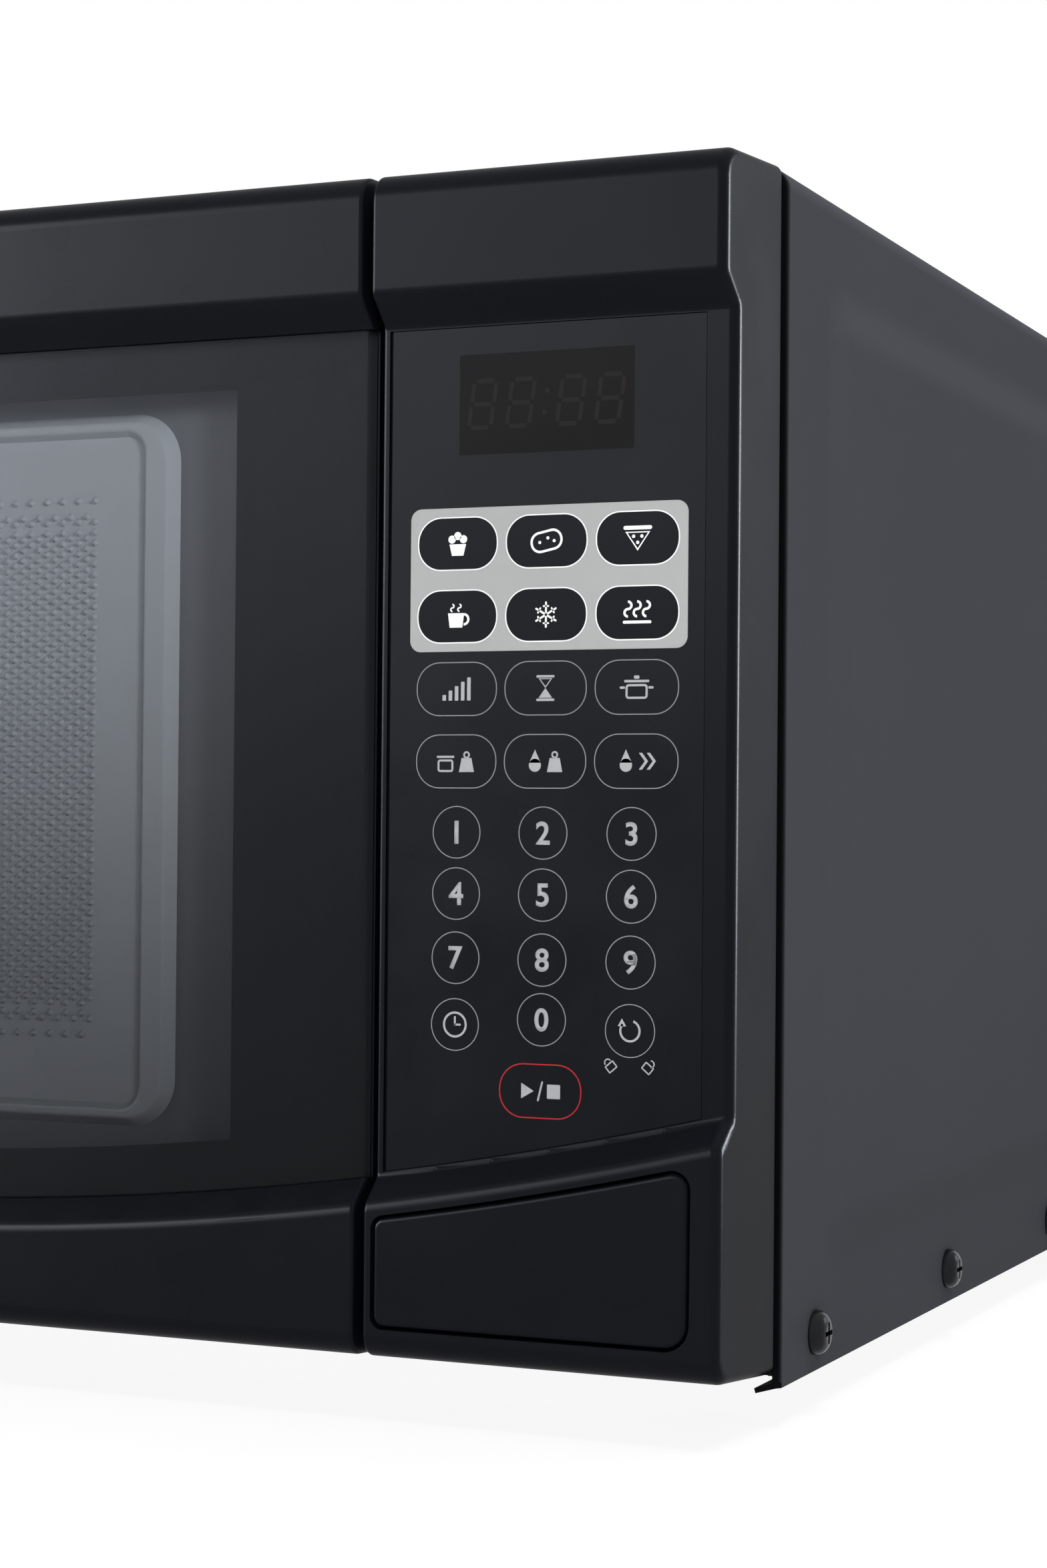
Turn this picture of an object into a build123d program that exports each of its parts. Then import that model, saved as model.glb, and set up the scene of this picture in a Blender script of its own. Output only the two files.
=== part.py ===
from build123d import *
import math
import os

# Compact countertop microwave oven with a left-hinged door and a push-button release.
# Millimetres. X runs to the right, Y to the back and Z up. The origin is on the
# worktop, under the middle of the oven.

# Overall sizes
FRONT_HALF = 222.7          # half width of the door and fascia together
Z_FRONT = 13.0              # underside of the door and fascia
FRONT_HEIGHT = 246.0
Z_FRONT_TOP = Z_FRONT + FRONT_HEIGHT
Y_BAND = -169.0             # front plane of the upper and lower bands
Y_GLASS = -163.0            # plane of the door glass and the key overlay
Y_SEAM = -140.0             # front edge of the steel cabinet
Y_BACK = 166.0              # rear face of the steel cabinet
SHEET = 1.0                 # steel sheet
WALL = 2.5                  # moulded plastic wall

# Front mouldings
BAND_TOP_ROUND = 6.0
BAND_BOTTOM_ROUND = 5.0
CREASE_ROUND = 3.2          # between a band and the slope into the recess
HOLLOW_ROUND = 1.5          # between the slope and the recess
SIDE_ROUND = 2.2
DRAFT_SIDE = 2.3            # how far the outer walls lean in from the seam to the bands
DRAFT_TOP = 1.0
DRAFT_LOW = 2.0
INNER_SIDE_ROUND = 0.9
RECESS_TOP = 227.5          # top of the glass
SLOPE_RISE = 5.9            # rise of the upper slope over the recess depth
ARC_RADIUS = 909.7          # lower edge of the glass, a wide smile
ARC_CENTRE_Z = 948.2
ARC_SLOPE = 5.3             # growth of that radius over the recess depth
RECESS_DEPTH = Y_GLASS - Y_BAND
DOOR_RIGHT = 139.8
FASCIA_LEFT = 142.0
Y_DOOR_BACK = -140.6
Y_FASCIA_BACK = -142.0

# Door
GLASS_THICK = 3.0
Y_FLANGE = Y_GLASS + GLASS_THICK
FLANGE_THICK = 2.5
WINDOW_X = (-189.4, 106.5)
WINDOW_TOP = 217.6
WINDOW_ARC = 899.7
WINDOW_CORNER = 1.2
DOOR_MID_X = -42.0
DOOR_MID_Z = 136.0
SCREEN_HALF = (164.0, 114.0)
RIDGE_MID = (-41.5, 135.0)
RIDGE_HALF = (128.7, 79.0)
PLATEAU_HALF = (119.8, 73.8)
Y_SCREEN = -153.0           # face of the perforated field
Y_RIDGE = -154.6
Y_SCREEN_BACK = -151.0
SCREEN_THICK = 0.8
Y_CHOKE_LIP = -142.4

# Hinge
HINGE_X = -216.0
HINGE_Y = -154.0
PIN_R = 2.5
PIN_GAP = 0.06
HINGE_LEVELS = ((24.0, 27.0), (241.0, 244.0))
HINGE_ARM_HALF = 4.5

# Cavity
CAVITY_X = (-195.0, 111.0)
CAVITY_Y = (-139.0, 152.0)
CAVITY_Z = (33.0, 239.0)
CAVITY_ROUND = 7.0
SPIN_X = -42.0
SPIN_Y = 6.5

# Latch
HOOK_X = (126.0, 132.0)
HOOK_MID_X = 129.0
HOOK_ARM_Z = (58.0, 203.0)  # underside of the lower and upper hook arms
HOOK_ARM_TALL = 8.0
HOOK_DROP = 4.5
HOOK_TIP_Y = -105.8
LEDGE_Y = (-134.0, -123.5)
PLAY = 0.3
SLOT_X = (123.0, 137.0)
BRACKET_WALL_X = (138.5, 141.0)
BRACKET_Y = (-139.0, -86.0)
BRACKET_Z = (40.0, 232.0)
SWITCH_SIZE = (10.4, 16.0, 28.0)
SWITCH_Y = -103.5
PLUNGER_R = 1.5
PLUNGER_RISE = 6.0          # of a switch pin above the underside of its hook
LEVER_Y = -131.0
LEVER_Z = 48.5
LEVER_R = 3.0

# Release button
BUTTON_CORNERS = ((144.4, 42.2), (213.7, 55.4), (213.5, 19.7), (144.4, 19.5))
BUTTON_ROUNDS = (2.4, 3.2, 5.0, 2.2)
BUTTON_ARC = 918.0
BUTTON_GAP = 0.6
BUTTON_DEPTH = 9.0
BUTTON_TRAVEL = 6.0
STEM_X = (151.0, 161.0)
STEM_Z = (22.0, 26.5)
BUTTON_SPRING_AT = (190.0, 32.0)

# Control panel
OVERLAY_X = (144.4, 214.2)
OVERLAY_GROOVE = 0.8
OVERLAY_THICK = 0.8
OVERLAY_INSET = -0.8        # of its seat from the foot of the slopes
DISPLAY_X = (159.8, 198.7)
DISPLAY_Z = (200.0, 220.8)
BOARD_X = (149.0, 216.0)
BOARD_Z = (74.0, 238.0)
BOARD_Y = (-151.0, -149.4)
PANEL_OPENING = ((148.0, 216.0), (72.0, 240.0))

# Cabinet
CABINET_HALF = 223.7
CABINET_TOP = 260.0
CABINET_BOTTOM = 8.4
CABINET_BEND = 5.0
HEM = 2.0
HEM_DEPTH = 7.0
BOTTOM_FLANGE = 7.0
REAR_FLANGE = 8.0
EMBOSS_Y = (-112.0, 138.0)
EMBOSS_Z = (31.8, 239.0)
EMBOSS_SLOPE = 9.2
EMBOSS_RISE = 2.3
EMBOSS_CORNER = 10.0
EMBOSS_SOFT = 16.0          # rounds the shallow bends of a raised field
LIP_DEPTH = 12.0            # turned-down front end of each bottom flange
REAR_RISE = 2.0
REAR_SLOPE = 6.0
REAR_CORNER = 10.0
REAR_SOFT = 6.0
SIDE_SCREW_Y = (-118.2, -15.0, 88.2)
SIDE_SCREW_Z = 16.6
SCREW_HEAD_R = 4.75
SCREW_HEAD_TALL = 3.2
SCREW_SHANK_R = 1.9
FOOT_AT = ((-175.0, -85.0), (175.0, -85.0), (-175.0, 125.0), (175.0, 125.0))
FOOT_R = (11.0, 13.0)

# Power parts in the bay on the right
FAN_X = 168.0
FAN_Z = 170.0
FAN_RING_R = 47.0
FAN_BLADES = 5
MAGNETRON_Y = -12.0
MAGNETRON_Z = 165.0
YOKE_X = (137.0, 185.0)
YOKE_HALF_Y = 40.0
YOKE_HALF_Z = 34.0
ANODE_R = 20.0
FIN_COUNT = 6
CORE_X = (126.0, 210.0)
CORE_Y = (44.0, 88.0)
CORE_Z = (12.4, 82.4)
CORE_LEG = 14.0
CAN_X = (148.0, 200.0)
CAN_TALL = 34.0
CAN_Y = (-78.0, 12.0)
LAMP_AT = (84.0, 216.0)
GLAND_AT = (196.0, 238.0)
GLAND_BORE_R = 3.75

# Turntable
TRAY_R = 127.5
TRAY_UNDERSIDE = 48.2
ROLLER_R = 7.3
ROLLER_Z = 40.6
ROLLER_WIDE = 8.0
ROLLER_TRACK_R = 95.0
ROLLER_COUNT = 3
AXLE_R = 2.0

BASE_Z = (9.4, 10.4)
FLOOR_UNDER = CAVITY_Z[0] - SHEET
LINER_RIGHT = CAVITY_X[1] + SHEET


# Helpers

def block(xs, ys, zs):
    """A box between three pairs of limits."""
    size = Box(xs[1] - xs[0], ys[1] - ys[0], zs[1] - zs[0])
    return Pos((xs[0] + xs[1]) / 2, (ys[0] + ys[1]) / 2, (zs[0] + zs[1]) / 2) * size


def rod_x(xs, y, z, radius):
    """A round bar along X."""
    bar = Rot(0, 90, 0) * Cylinder(radius, xs[1] - xs[0])
    return Pos((xs[0] + xs[1]) / 2, y, z) * bar


def rod_y(x, ys, z, radius):
    """A round bar along Y."""
    bar = Rot(90, 0, 0) * Cylinder(radius, ys[1] - ys[0])
    return Pos(x, (ys[0] + ys[1]) / 2, z) * bar


def rod_z(x, y, zs, radius):
    """A round bar along Z."""
    return Pos(x, y, (zs[0] + zs[1]) / 2) * Cylinder(radius, zs[1] - zs[0])


def front_plane(y):
    """The plane at depth y whose sketch axes are X and Z, facing the user."""
    return Plane(origin=(0, y, 0), x_dir=(1, 0, 0), z_dir=(0, -1, 0))


def rounded(mid, half, radius):
    """A sketch of a rounded rectangle about a middle point."""
    return Pos(mid[0], mid[1]) * RectangleRounded(2 * half[0], 2 * half[1], radius)


def front_slab(mid, half, radius, ys):
    """A rounded rectangular slab between two depths."""
    outline = front_plane(ys[1]) * rounded(mid, half, radius)
    return extrude(outline, amount=ys[1] - ys[0])


def side_profile(points, xs):
    """A closed outline of (y, z) points carried along X."""
    outline = make_face(Polyline(*points, close=True))
    return Pos(xs[0], 0, 0) * extrude(Plane.YZ * outline, amount=xs[1] - xs[0])


def frustum(lower, upper):
    """A straight-sided transition between two parallel sketches."""
    return loft([lower.face(), upper.face()], ruled=True)


def arc_z(radius, x):
    """Height of the smile-shaped arc of a given radius at x."""
    return ARC_CENTRE_Z - math.sqrt(radius ** 2 - x ** 2)


# Front mouldings

def recess(y_back, grow):
    """The space in front of the glass: a sloped top and a conical, smile-shaped bottom.

    grow moves its walls outwards, so that the same form also leaves a wall of even
    thickness behind the mouldings.
    """
    y_front = Y_BAND - 1.0
    knee = Y_GLASS + grow * math.tan(math.pi / 8)
    run = (knee - y_front) / RECESS_DEPTH
    top = RECESS_TOP + grow
    reach = (-FRONT_HALF - 10.0, FRONT_HALF + 10.0)
    outline = [
        (y_back, 0.0),
        (y_back, top),
        (y_front, top + SLOPE_RISE * run),
        (y_front, 0.0),
    ]
    radius = ARC_RADIUS + grow
    cone = Rot(90, 0, 0) * Cone(radius, radius + ARC_SLOPE * run, knee - y_front)
    smile = Pos(0, (knee + y_front) / 2, ARC_CENTRE_Z) * cone
    if y_back > knee + 0.001:
        outline.insert(2, (knee, top))
        smile += rod_y(0, (knee, y_back), ARC_CENTRE_Z, radius)
    prism = side_profile(outline, reach)
    return prism & smile


def at_depth(edges, y):
    """The edges that lie in the plane at depth y."""
    return edges.filter_by_position(Axis.Y, y - 0.01, y + 0.01)


def long_edges(body, y):
    """The edges across the moulding at depth y, without those of its outer silhouette."""
    level = at_depth(body.edges(), y)
    level = level.filter_by(lambda e: abs(e.tangent_at(0.5).X) > 0.7)
    return level.filter_by(lambda e: Z_FRONT + 6.0 < e.center().Z < Z_FRONT_TOP - 10.0)


def is_outer(x):
    """Whether a side of a moulding is an outer side of the oven's front."""
    return abs(abs(x) - FRONT_HALF) < 0.01


def side_wedge(side):
    """What the lean of an outer side wall takes off a moulding."""
    reach = Y_BAND - 5.0
    slope = DRAFT_SIDE / (Y_SEAM - Y_BAND)
    corners = [
        (side * FRONT_HALF, Y_SEAM),
        (side * (FRONT_HALF - slope * (Y_SEAM - reach)), reach),
        (side * (FRONT_HALF + 5.0), reach),
        (side * (FRONT_HALF + 5.0), Y_SEAM),
    ]
    return extrude(make_face(Polyline(*corners, close=True)), amount=400.0)


def front_moulding(xs, y_back, rounds, hollow_round):
    """A stretch of the front: two bands with a recess between them, all edges rounded."""
    lean = (y_back - Y_BAND) / (Y_SEAM - Y_BAND)
    corners = [
        (y_back, Z_FRONT - DRAFT_LOW * lean),
        (y_back, Z_FRONT_TOP + DRAFT_TOP * lean),
        (Y_BAND, Z_FRONT_TOP),
        (Y_BAND, Z_FRONT),
    ]
    outline = make_face(Polyline(*corners, close=True))
    top_corner = outline.vertices().sort_by(Axis.X)[:2].sort_by(Axis.Y)[-1]
    outline = fillet(top_corner, BAND_TOP_ROUND)
    low_corner = outline.vertices().sort_by(Axis.Y)[:2].sort_by(Axis.X)[0]
    outline = fillet(low_corner, BAND_BOTTOM_ROUND)
    body = Pos(xs[0], 0, 0) * extrude(Plane.YZ * outline, amount=xs[1] - xs[0])
    for x in xs:
        if is_outer(x):
            body -= side_wedge(math.copysign(1.0, x))
    body -= recess(Y_GLASS, 0.0)
    body = fillet(long_edges(body, Y_BAND), CREASE_ROUND)
    if hollow_round:
        body = fillet(long_edges(body, Y_GLASS), hollow_round)
    for end, radius in zip((0, -1), rounds):
        rim = body.faces().sort_by(Axis.X)[end].edges()
        rim = rim.filter_by(lambda e: e.center().Y < y_back - 0.01)
        body = fillet(rim, radius)
    return body


def moulding_hollow(xs, y_open, y_web, grow):
    """The hollow behind a moulding, open at the back, that leaves even walls."""
    left, right = (WALL + DRAFT_SIDE if is_outer(x) else WALL for x in xs)
    inner_x = (xs[0] + left, xs[1] - right)
    inner_z = (Z_FRONT + WALL, Z_FRONT_TOP - WALL)
    return block(inner_x, (Y_BAND + WALL, y_open), inner_z) - recess(y_web, grow)


# Door

def window_face():
    """The see-through window: straight sides and top, a bottom that follows the arc."""
    left, right = WINDOW_X
    outline = make_face(
        [
            Line((left, WINDOW_TOP), (right, WINDOW_TOP)),
            Line((right, WINDOW_TOP), (right, arc_z(WINDOW_ARC, right))),
            ThreePointArc(
                (right, arc_z(WINDOW_ARC, right)),
                (0, arc_z(WINDOW_ARC, 0)),
                (left, arc_z(WINDOW_ARC, left)),
            ),
            Line((left, arc_z(WINDOW_ARC, left)), (left, WINDOW_TOP)),
        ]
    )
    return fillet(outline.vertices(), WINDOW_CORNER)


def door_frame():
    """The moulded door: bands, glass seat, window, latch guides and hinge bosses."""
    xs = (-FRONT_HALF, DOOR_RIGHT)
    body = front_moulding(xs, Y_DOOR_BACK, (SIDE_ROUND, INNER_SIDE_ROUND), 0.0)
    web = Y_FLANGE + FLANGE_THICK
    body -= recess(Y_FLANGE, 0.0)
    body -= moulding_hollow(xs, Y_SEAM, web, WALL)
    body -= extrude(front_plane(web + 1.0) * window_face(), amount=FLANGE_THICK + 2.0)
    left_inner = -FRONT_HALF + WALL + DRAFT_SIDE
    for low, high in HINGE_LEVELS:
        for boss in ((low - 8.0, low - 1.5), (high + 1.5, high + 8.0)):
            body += block((left_inner - 0.5, -211.0), (Y_BAND + 2.0, -148.0), boss)
        body -= block((-FRONT_HALF - 1, left_inner + 1), (-162.0, Y_SEAM), (low - 1.5, high + 1.5))
        body -= rod_z(HINGE_X, HINGE_Y, (low - 7.0, high + 7.0), PIN_R)
    body -= block((-FRONT_HALF - 1, HINGE_X + 1), (-143.0, Y_SEAM), (0, 300))
    guides_y = (web - 0.5, -144.5)
    outer = (HOOK_X[0] - 3.2, HOOK_X[1] + 3.2)
    for zs in ((90.0, 110.0), (160.0, 180.0)):
        body += block((outer[0], HOOK_X[0] - PLAY), guides_y, zs)
        body += block((HOOK_X[1] + PLAY, outer[1]), guides_y, zs)
    body += block(outer, guides_y, (46.7, 49.7))
    body += block(outer, (Y_BAND + 2.0, -144.5), (236.0, 239.0))
    for x in (-200.0, DOOR_MID_X, 114.0):
        for zs in ((25.0, 31.0), (240.0, 246.0)):
            body += block((x - 3, x + 3), (Y_BAND + 2.0, Y_SCREEN_BACK - SCREEN_THICK), zs)
    return body


def door_glass():
    """The front glass, flush with the slopes of the mouldings."""
    sheet = recess(Y_FLANGE, -PLAY)
    left = -FRONT_HALF + DRAFT_SIDE + 0.5
    sheet &= block((left, DOOR_RIGHT - 0.5), (Y_GLASS, Y_FLANGE), (0, 300))
    upright = sheet.edges().filter_by(Axis.Z)
    return fillet(at_depth(upright, Y_GLASS), 1.0)


def door_screen():
    """The stamped steel panel: a flat field inside a raised, rounded ridge."""
    middle = (DOOR_MID_X, DOOR_MID_Z)
    y_face = Y_SCREEN_BACK - SCREEN_THICK
    panel = front_slab(middle, SCREEN_HALF, 6.0, (y_face, Y_SCREEN_BACK))
    foot = front_plane(y_face + 0.2) * rounded(RIDGE_MID, RIDGE_HALF, 11.0)
    crown_half = (RIDGE_HALF[0] - 2.2, RIDGE_HALF[1] - 2.2)
    crown = front_plane(Y_RIDGE) * rounded(RIDGE_MID, crown_half, 9.0)
    panel += frustum(foot, crown)
    step_half = (PLATEAU_HALF[0] + 1.4, PLATEAU_HALF[1] + 1.4)
    step = front_plane(Y_RIDGE - 0.1) * rounded(RIDGE_MID, step_half, 5.4)
    field = front_plane(Y_SCREEN) * rounded(RIDGE_MID, PLATEAU_HALF, 4.0)
    panel -= frustum(field, step)
    pocket = (RIDGE_HALF[0] - 3.0, RIDGE_HALF[1] - 3.0)
    groove_y = (Y_RIDGE + SCREEN_THICK, Y_SCREEN_BACK + 1.0)
    groove = front_slab(RIDGE_MID, pocket, 8.0, groove_y)
    groove -= front_slab(RIDGE_MID, (step_half[0] + 0.8, step_half[1] + 0.8), 5.0, groove_y)
    panel -= groove
    panel -= front_slab(RIDGE_MID, pocket, 8.0, (Y_SCREEN + SCREEN_THICK, Y_SCREEN_BACK + 1.0))
    crown_edges = at_depth(panel.edges(), Y_RIDGE)
    return fillet(crown_edges, 1.0)


def door_inner_film():
    """The clear film that keeps steam off the perforated field."""
    half = (RIDGE_HALF[0] - 3.5, RIDGE_HALF[1] - 3.5)
    seat = Y_SCREEN + SCREEN_THICK
    return front_slab(RIDGE_MID, half, 7.5, (seat, seat + 0.5))


def door_choke():
    """The choke channel round the door panel, with slotted teeth on its lip."""
    middle = (DOOR_MID_X, DOOR_MID_Z)
    inner = (SCREEN_HALF[0] - SHEET, SCREEN_HALF[1] - SHEET)
    lip = (SCREEN_HALF[0] - 16.0, SCREEN_HALF[1] - 16.0)
    ring = front_slab(middle, SCREEN_HALF, 6.0, (Y_SCREEN_BACK, Y_CHOKE_LIP))
    ring -= front_slab(middle, inner, 5.0, (Y_SCREEN_BACK - 1, Y_CHOKE_LIP - SHEET))
    ring -= front_slab(middle, lip, 3.0, (Y_SCREEN_BACK - 1, Y_CHOKE_LIP + 1))
    pitch, gap, tooth = 22.0, 3.0, 9.0
    depth = (Y_CHOKE_LIP - SHEET - 1, Y_CHOKE_LIP + 1)
    for step in range(-6, 7):
        x = DOOR_MID_X + step * pitch
        for side in (-1, 1):
            edge = DOOR_MID_Z + side * (lip[1] + tooth / 2)
            ring -= block((x - gap / 2, x + gap / 2), depth, (edge - tooth / 2, edge + tooth / 2))
    for step in range(-4, 5):
        z = DOOR_MID_Z + step * pitch
        for side in (-1, 1):
            edge = DOOR_MID_X + side * (lip[0] + tooth / 2)
            ring -= block((edge - tooth / 2, edge + tooth / 2), depth, (z - gap / 2, z + gap / 2))
    return ring


def choke_cover():
    """The plastic inner frame of the door, with slots for the two hooks."""
    xs = (-207.0, DOOR_RIGHT - WALL - PLAY)
    zs = (Z_FRONT + WALL + PLAY, Z_FRONT_TOP - WALL - PLAY)
    middle = ((xs[0] + xs[1]) / 2, (zs[0] + zs[1]) / 2)
    half = ((xs[1] - xs[0]) / 2, (zs[1] - zs[0]) / 2)
    ys = (Y_CHOKE_LIP, Y_DOOR_BACK)
    cover = front_slab(middle, half, 3.0, ys)
    opening = (PLATEAU_HALF[0] + 4.0, PLATEAU_HALF[1] + 4.0)
    cover -= front_slab(RIDGE_MID, opening, 8.0, (ys[0] - 1, ys[1] + 1))
    rim = cover.edges().filter_by_position(Axis.Y, ys[1] - 0.01, ys[1] + 0.01)
    rim = rim.filter_by(lambda e: abs(e.center().X - RIDGE_MID[0]) < opening[0] + 1)
    rim = rim.filter_by(lambda e: abs(e.center().Z - RIDGE_MID[1]) < opening[1] + 1)
    cover = chamfer(rim, 1.2)
    outer = cover.edges().filter_by_position(Axis.Y, ys[1] - 0.01, ys[1] + 0.01)
    outer = outer.filter_by(lambda e: abs(e.center().X - middle[0]) > half[0] - 4
                            or abs(e.center().Z - middle[1]) > half[1] - 4)
    cover = fillet(outer, 0.9)
    for low in HOOK_ARM_Z:
        cover -= block((HOOK_X[0] - 2.5, HOOK_X[1] + 2.5), (ys[0] - 1, ys[1] + 1), (low - 2, low + 15))
    return cover


def hinge_pins():
    """The two steel pins that the door turns on."""
    pins = []
    for low, high in HINGE_LEVELS:
        pins.append(rod_z(HINGE_X, HINGE_Y, (low - 7.0, high + 7.0), PIN_R))
    return Compound(children=pins)


def hinge_bracket(low, high):
    """A steel angle behind the front plate whose arm reaches out to the pin."""
    arm_x = (HINGE_X - HINGE_ARM_HALF, HINGE_X + HINGE_ARM_HALF)
    bracket = block(arm_x, (HINGE_Y, Y_SEAM + SHEET), (low, high))
    bracket += rod_z(HINGE_X, HINGE_Y, (low, high), HINGE_ARM_HALF)
    middle = (low + high) / 2
    bracket += block((-220.3, -199.0), (Y_SEAM + SHEET, Y_SEAM + 3.0), (middle - 14.0, middle + 14.0))
    return bracket - rod_z(HINGE_X, HINGE_Y, (low - 1, high + 1), PIN_R + PIN_GAP)


def latch_hook():
    """The sprung bar in the door with a sloped hook at each end."""
    bar = block(HOOK_X, (-150.5, -145.0), (50.0, 214.0))
    for low in HOOK_ARM_Z:
        top = low + HOOK_ARM_TALL
        nose = low - HOOK_DROP
        bar += side_profile(
            [
                (-150.5, low),
                (LEDGE_Y[1] + 1.0, low),
                (LEDGE_Y[1] + 1.0, nose),
                (HOOK_TIP_Y - 4.2, nose),
                (HOOK_TIP_Y, top - 2.0),
                (HOOK_TIP_Y, top),
                (-150.5, top),
            ],
            HOOK_X,
        )
    tips = bar.edges().filter_by(Axis.X)
    tips = tips.filter_by(lambda e: e.center().Y > HOOK_TIP_Y - 4.5)
    return fillet(tips, 0.7)


def coil_sleeve(base, radius):
    """A small compression spring along Z, drawn as the tube that its turns fill."""
    return base(radius) - base(radius - 0.8)


def latch_spring():
    """Pushes the hook bar down onto its stop."""
    return coil_sleeve(lambda r: rod_z(HOOK_MID_X, -147.75, (214.0, 236.0), r), 3.2)


# Release button and lever

def button_outline():
    """The wedge of a button whose top edge runs with the arc of the band."""
    (left, z_tl), (right, z_tr), (right_low, z_br), (left_low, z_bl) = BUTTON_CORNERS
    middle = (left + right) / 2
    outline = make_face(
        [
            ThreePointArc(
                (left, arc_z(BUTTON_ARC, left)),
                (middle, arc_z(BUTTON_ARC, middle)),
                (right, arc_z(BUTTON_ARC, right)),
            ),
            Line((right, arc_z(BUTTON_ARC, right)), (right_low, z_br)),
            Line((right_low, z_br), (left_low, z_bl)),
            Line((left_low, z_bl), (left, arc_z(BUTTON_ARC, left))),
        ]
    )
    for corner, radius in zip(BUTTON_CORNERS, BUTTON_ROUNDS):
        spot = Vector(corner[0], corner[1], 0)
        near = outline.vertices().sort_by(lambda v: (v.center() - spot).length)[0]
        outline = fillet(near, radius)
    return outline


def release_button():
    """A hollow push button with a stem for the lever and a peg for its spring."""
    outline = button_outline()
    button = extrude(front_plane(Y_BAND + BUTTON_DEPTH) * outline, amount=BUTTON_DEPTH)
    button = fillet(at_depth(button.edges(), Y_BAND), 1.0)
    inner = offset(outline, amount=-2.0)
    y_inner = Y_BAND + 2.2
    button -= extrude(front_plane(Y_BAND + BUTTON_DEPTH + 1) * inner, amount=BUTTON_DEPTH + 1 - 2.2)
    button += block(STEM_X, (y_inner - 0.5, -136.3), STEM_Z)
    x, z = BUTTON_SPRING_AT
    button += rod_y(x, (y_inner - 0.5, y_inner + 6.0), z, 2.6)
    return button


def button_spring():
    """Returns the button, between its back and the front plate."""
    x, z = BUTTON_SPRING_AT
    return coil_sleeve(lambda r: rod_y(x, (Y_BAND + 2.2, Y_SEAM), z, r), 3.8)


def release_lever():
    """A rocker: the button pushes its pad, and its finger lifts the lower hook."""
    lever = rod_x((117.0, 166.0), LEVER_Y, LEVER_Z, LEVER_R)
    nose = HOOK_ARM_Z[0] - HOOK_DROP - PLAY
    lever += side_profile(
        [
            (LEVER_Y, LEVER_Z - 2.7),
            (-112.0, LEVER_Z - 1.5),
            (-112.0, nose),
            (-116.0, nose),
            (-119.0, nose - 2.7),
            (LEVER_Y, LEVER_Z + 2.7),
        ],
        (HOOK_X[0] + 0.5, HOOK_X[1] - 0.5),
    )
    lever += block((148.0, 164.0), (-136.0, -133.0), (21.5, LEVER_Z + 1.5))
    lever += block((148.0, 164.0), (-134.0, LEVER_Y), (LEVER_Z - 2.0, LEVER_Z + 1.5))
    return lever


# Interlock

def interlock_bracket():
    """The moulded latch board: slotted base, side wall, catch ledges and switch pegs."""
    board = block((116.0, BRACKET_WALL_X[1]), (BRACKET_Y[0], BRACKET_Y[0] + 3.0), BRACKET_Z)
    board += block(BRACKET_WALL_X, BRACKET_Y, BRACKET_Z)
    for low in HOOK_ARM_Z:
        board -= block(SLOT_X, (BRACKET_Y[0] - 1, BRACKET_Y[0] + 4), (low - 7.0, low + 14.0))
        board += block((122.0, BRACKET_WALL_X[0] + 0.5), LEDGE_Y, (low - 3.0, low - 0.5))
    cheek_x = (118.5, 121.0)
    board += block(cheek_x, (BRACKET_Y[0] + 2.0, LEVER_Y + 6.0), (LEVER_Z - 7.0, LEVER_Z + 5.5))
    board -= rod_x((110.0, 145.0), LEVER_Y, LEVER_Z, LEVER_R + PIN_GAP)
    for y, z in switch_peg_points():
        board += rod_x((HOOK_MID_X - 4.0, BRACKET_WALL_X[0] + 0.5), y, z, 1.4)
        pad_x = (HOOK_MID_X + SWITCH_SIZE[0] / 2, BRACKET_WALL_X[0] + 0.5)
        board += rod_x(pad_x, y, z, 3.0)
    board -= block((137.0, 142.0), (-128.0, -94.0), (95.0, 170.0))
    return board


def rear_switch_low(hook_low):
    """Underside of the switch that stands behind a hook's tip."""
    return hook_low - 3.0


def monitor_switch_limits():
    """Depth and height limits of the switch under the upper hook."""
    top = HOOK_ARM_Z[1] - HOOK_DROP - 4.5
    return (-130.0, -102.0), (top - SWITCH_SIZE[1], top)


def switch_peg_points():
    """Where two pegs hold each switch, as (y, z)."""
    points = []
    for low in HOOK_ARM_Z:
        for rise in (15.5, 25.5):
            points.append((SWITCH_Y + 11.0, rear_switch_low(low) + rise))
    (front, back), (bottom, _) = monitor_switch_limits()
    for y in (front + 5.0, back - 5.0):
        points.append((y, bottom + 4.0))
    return points


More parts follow.
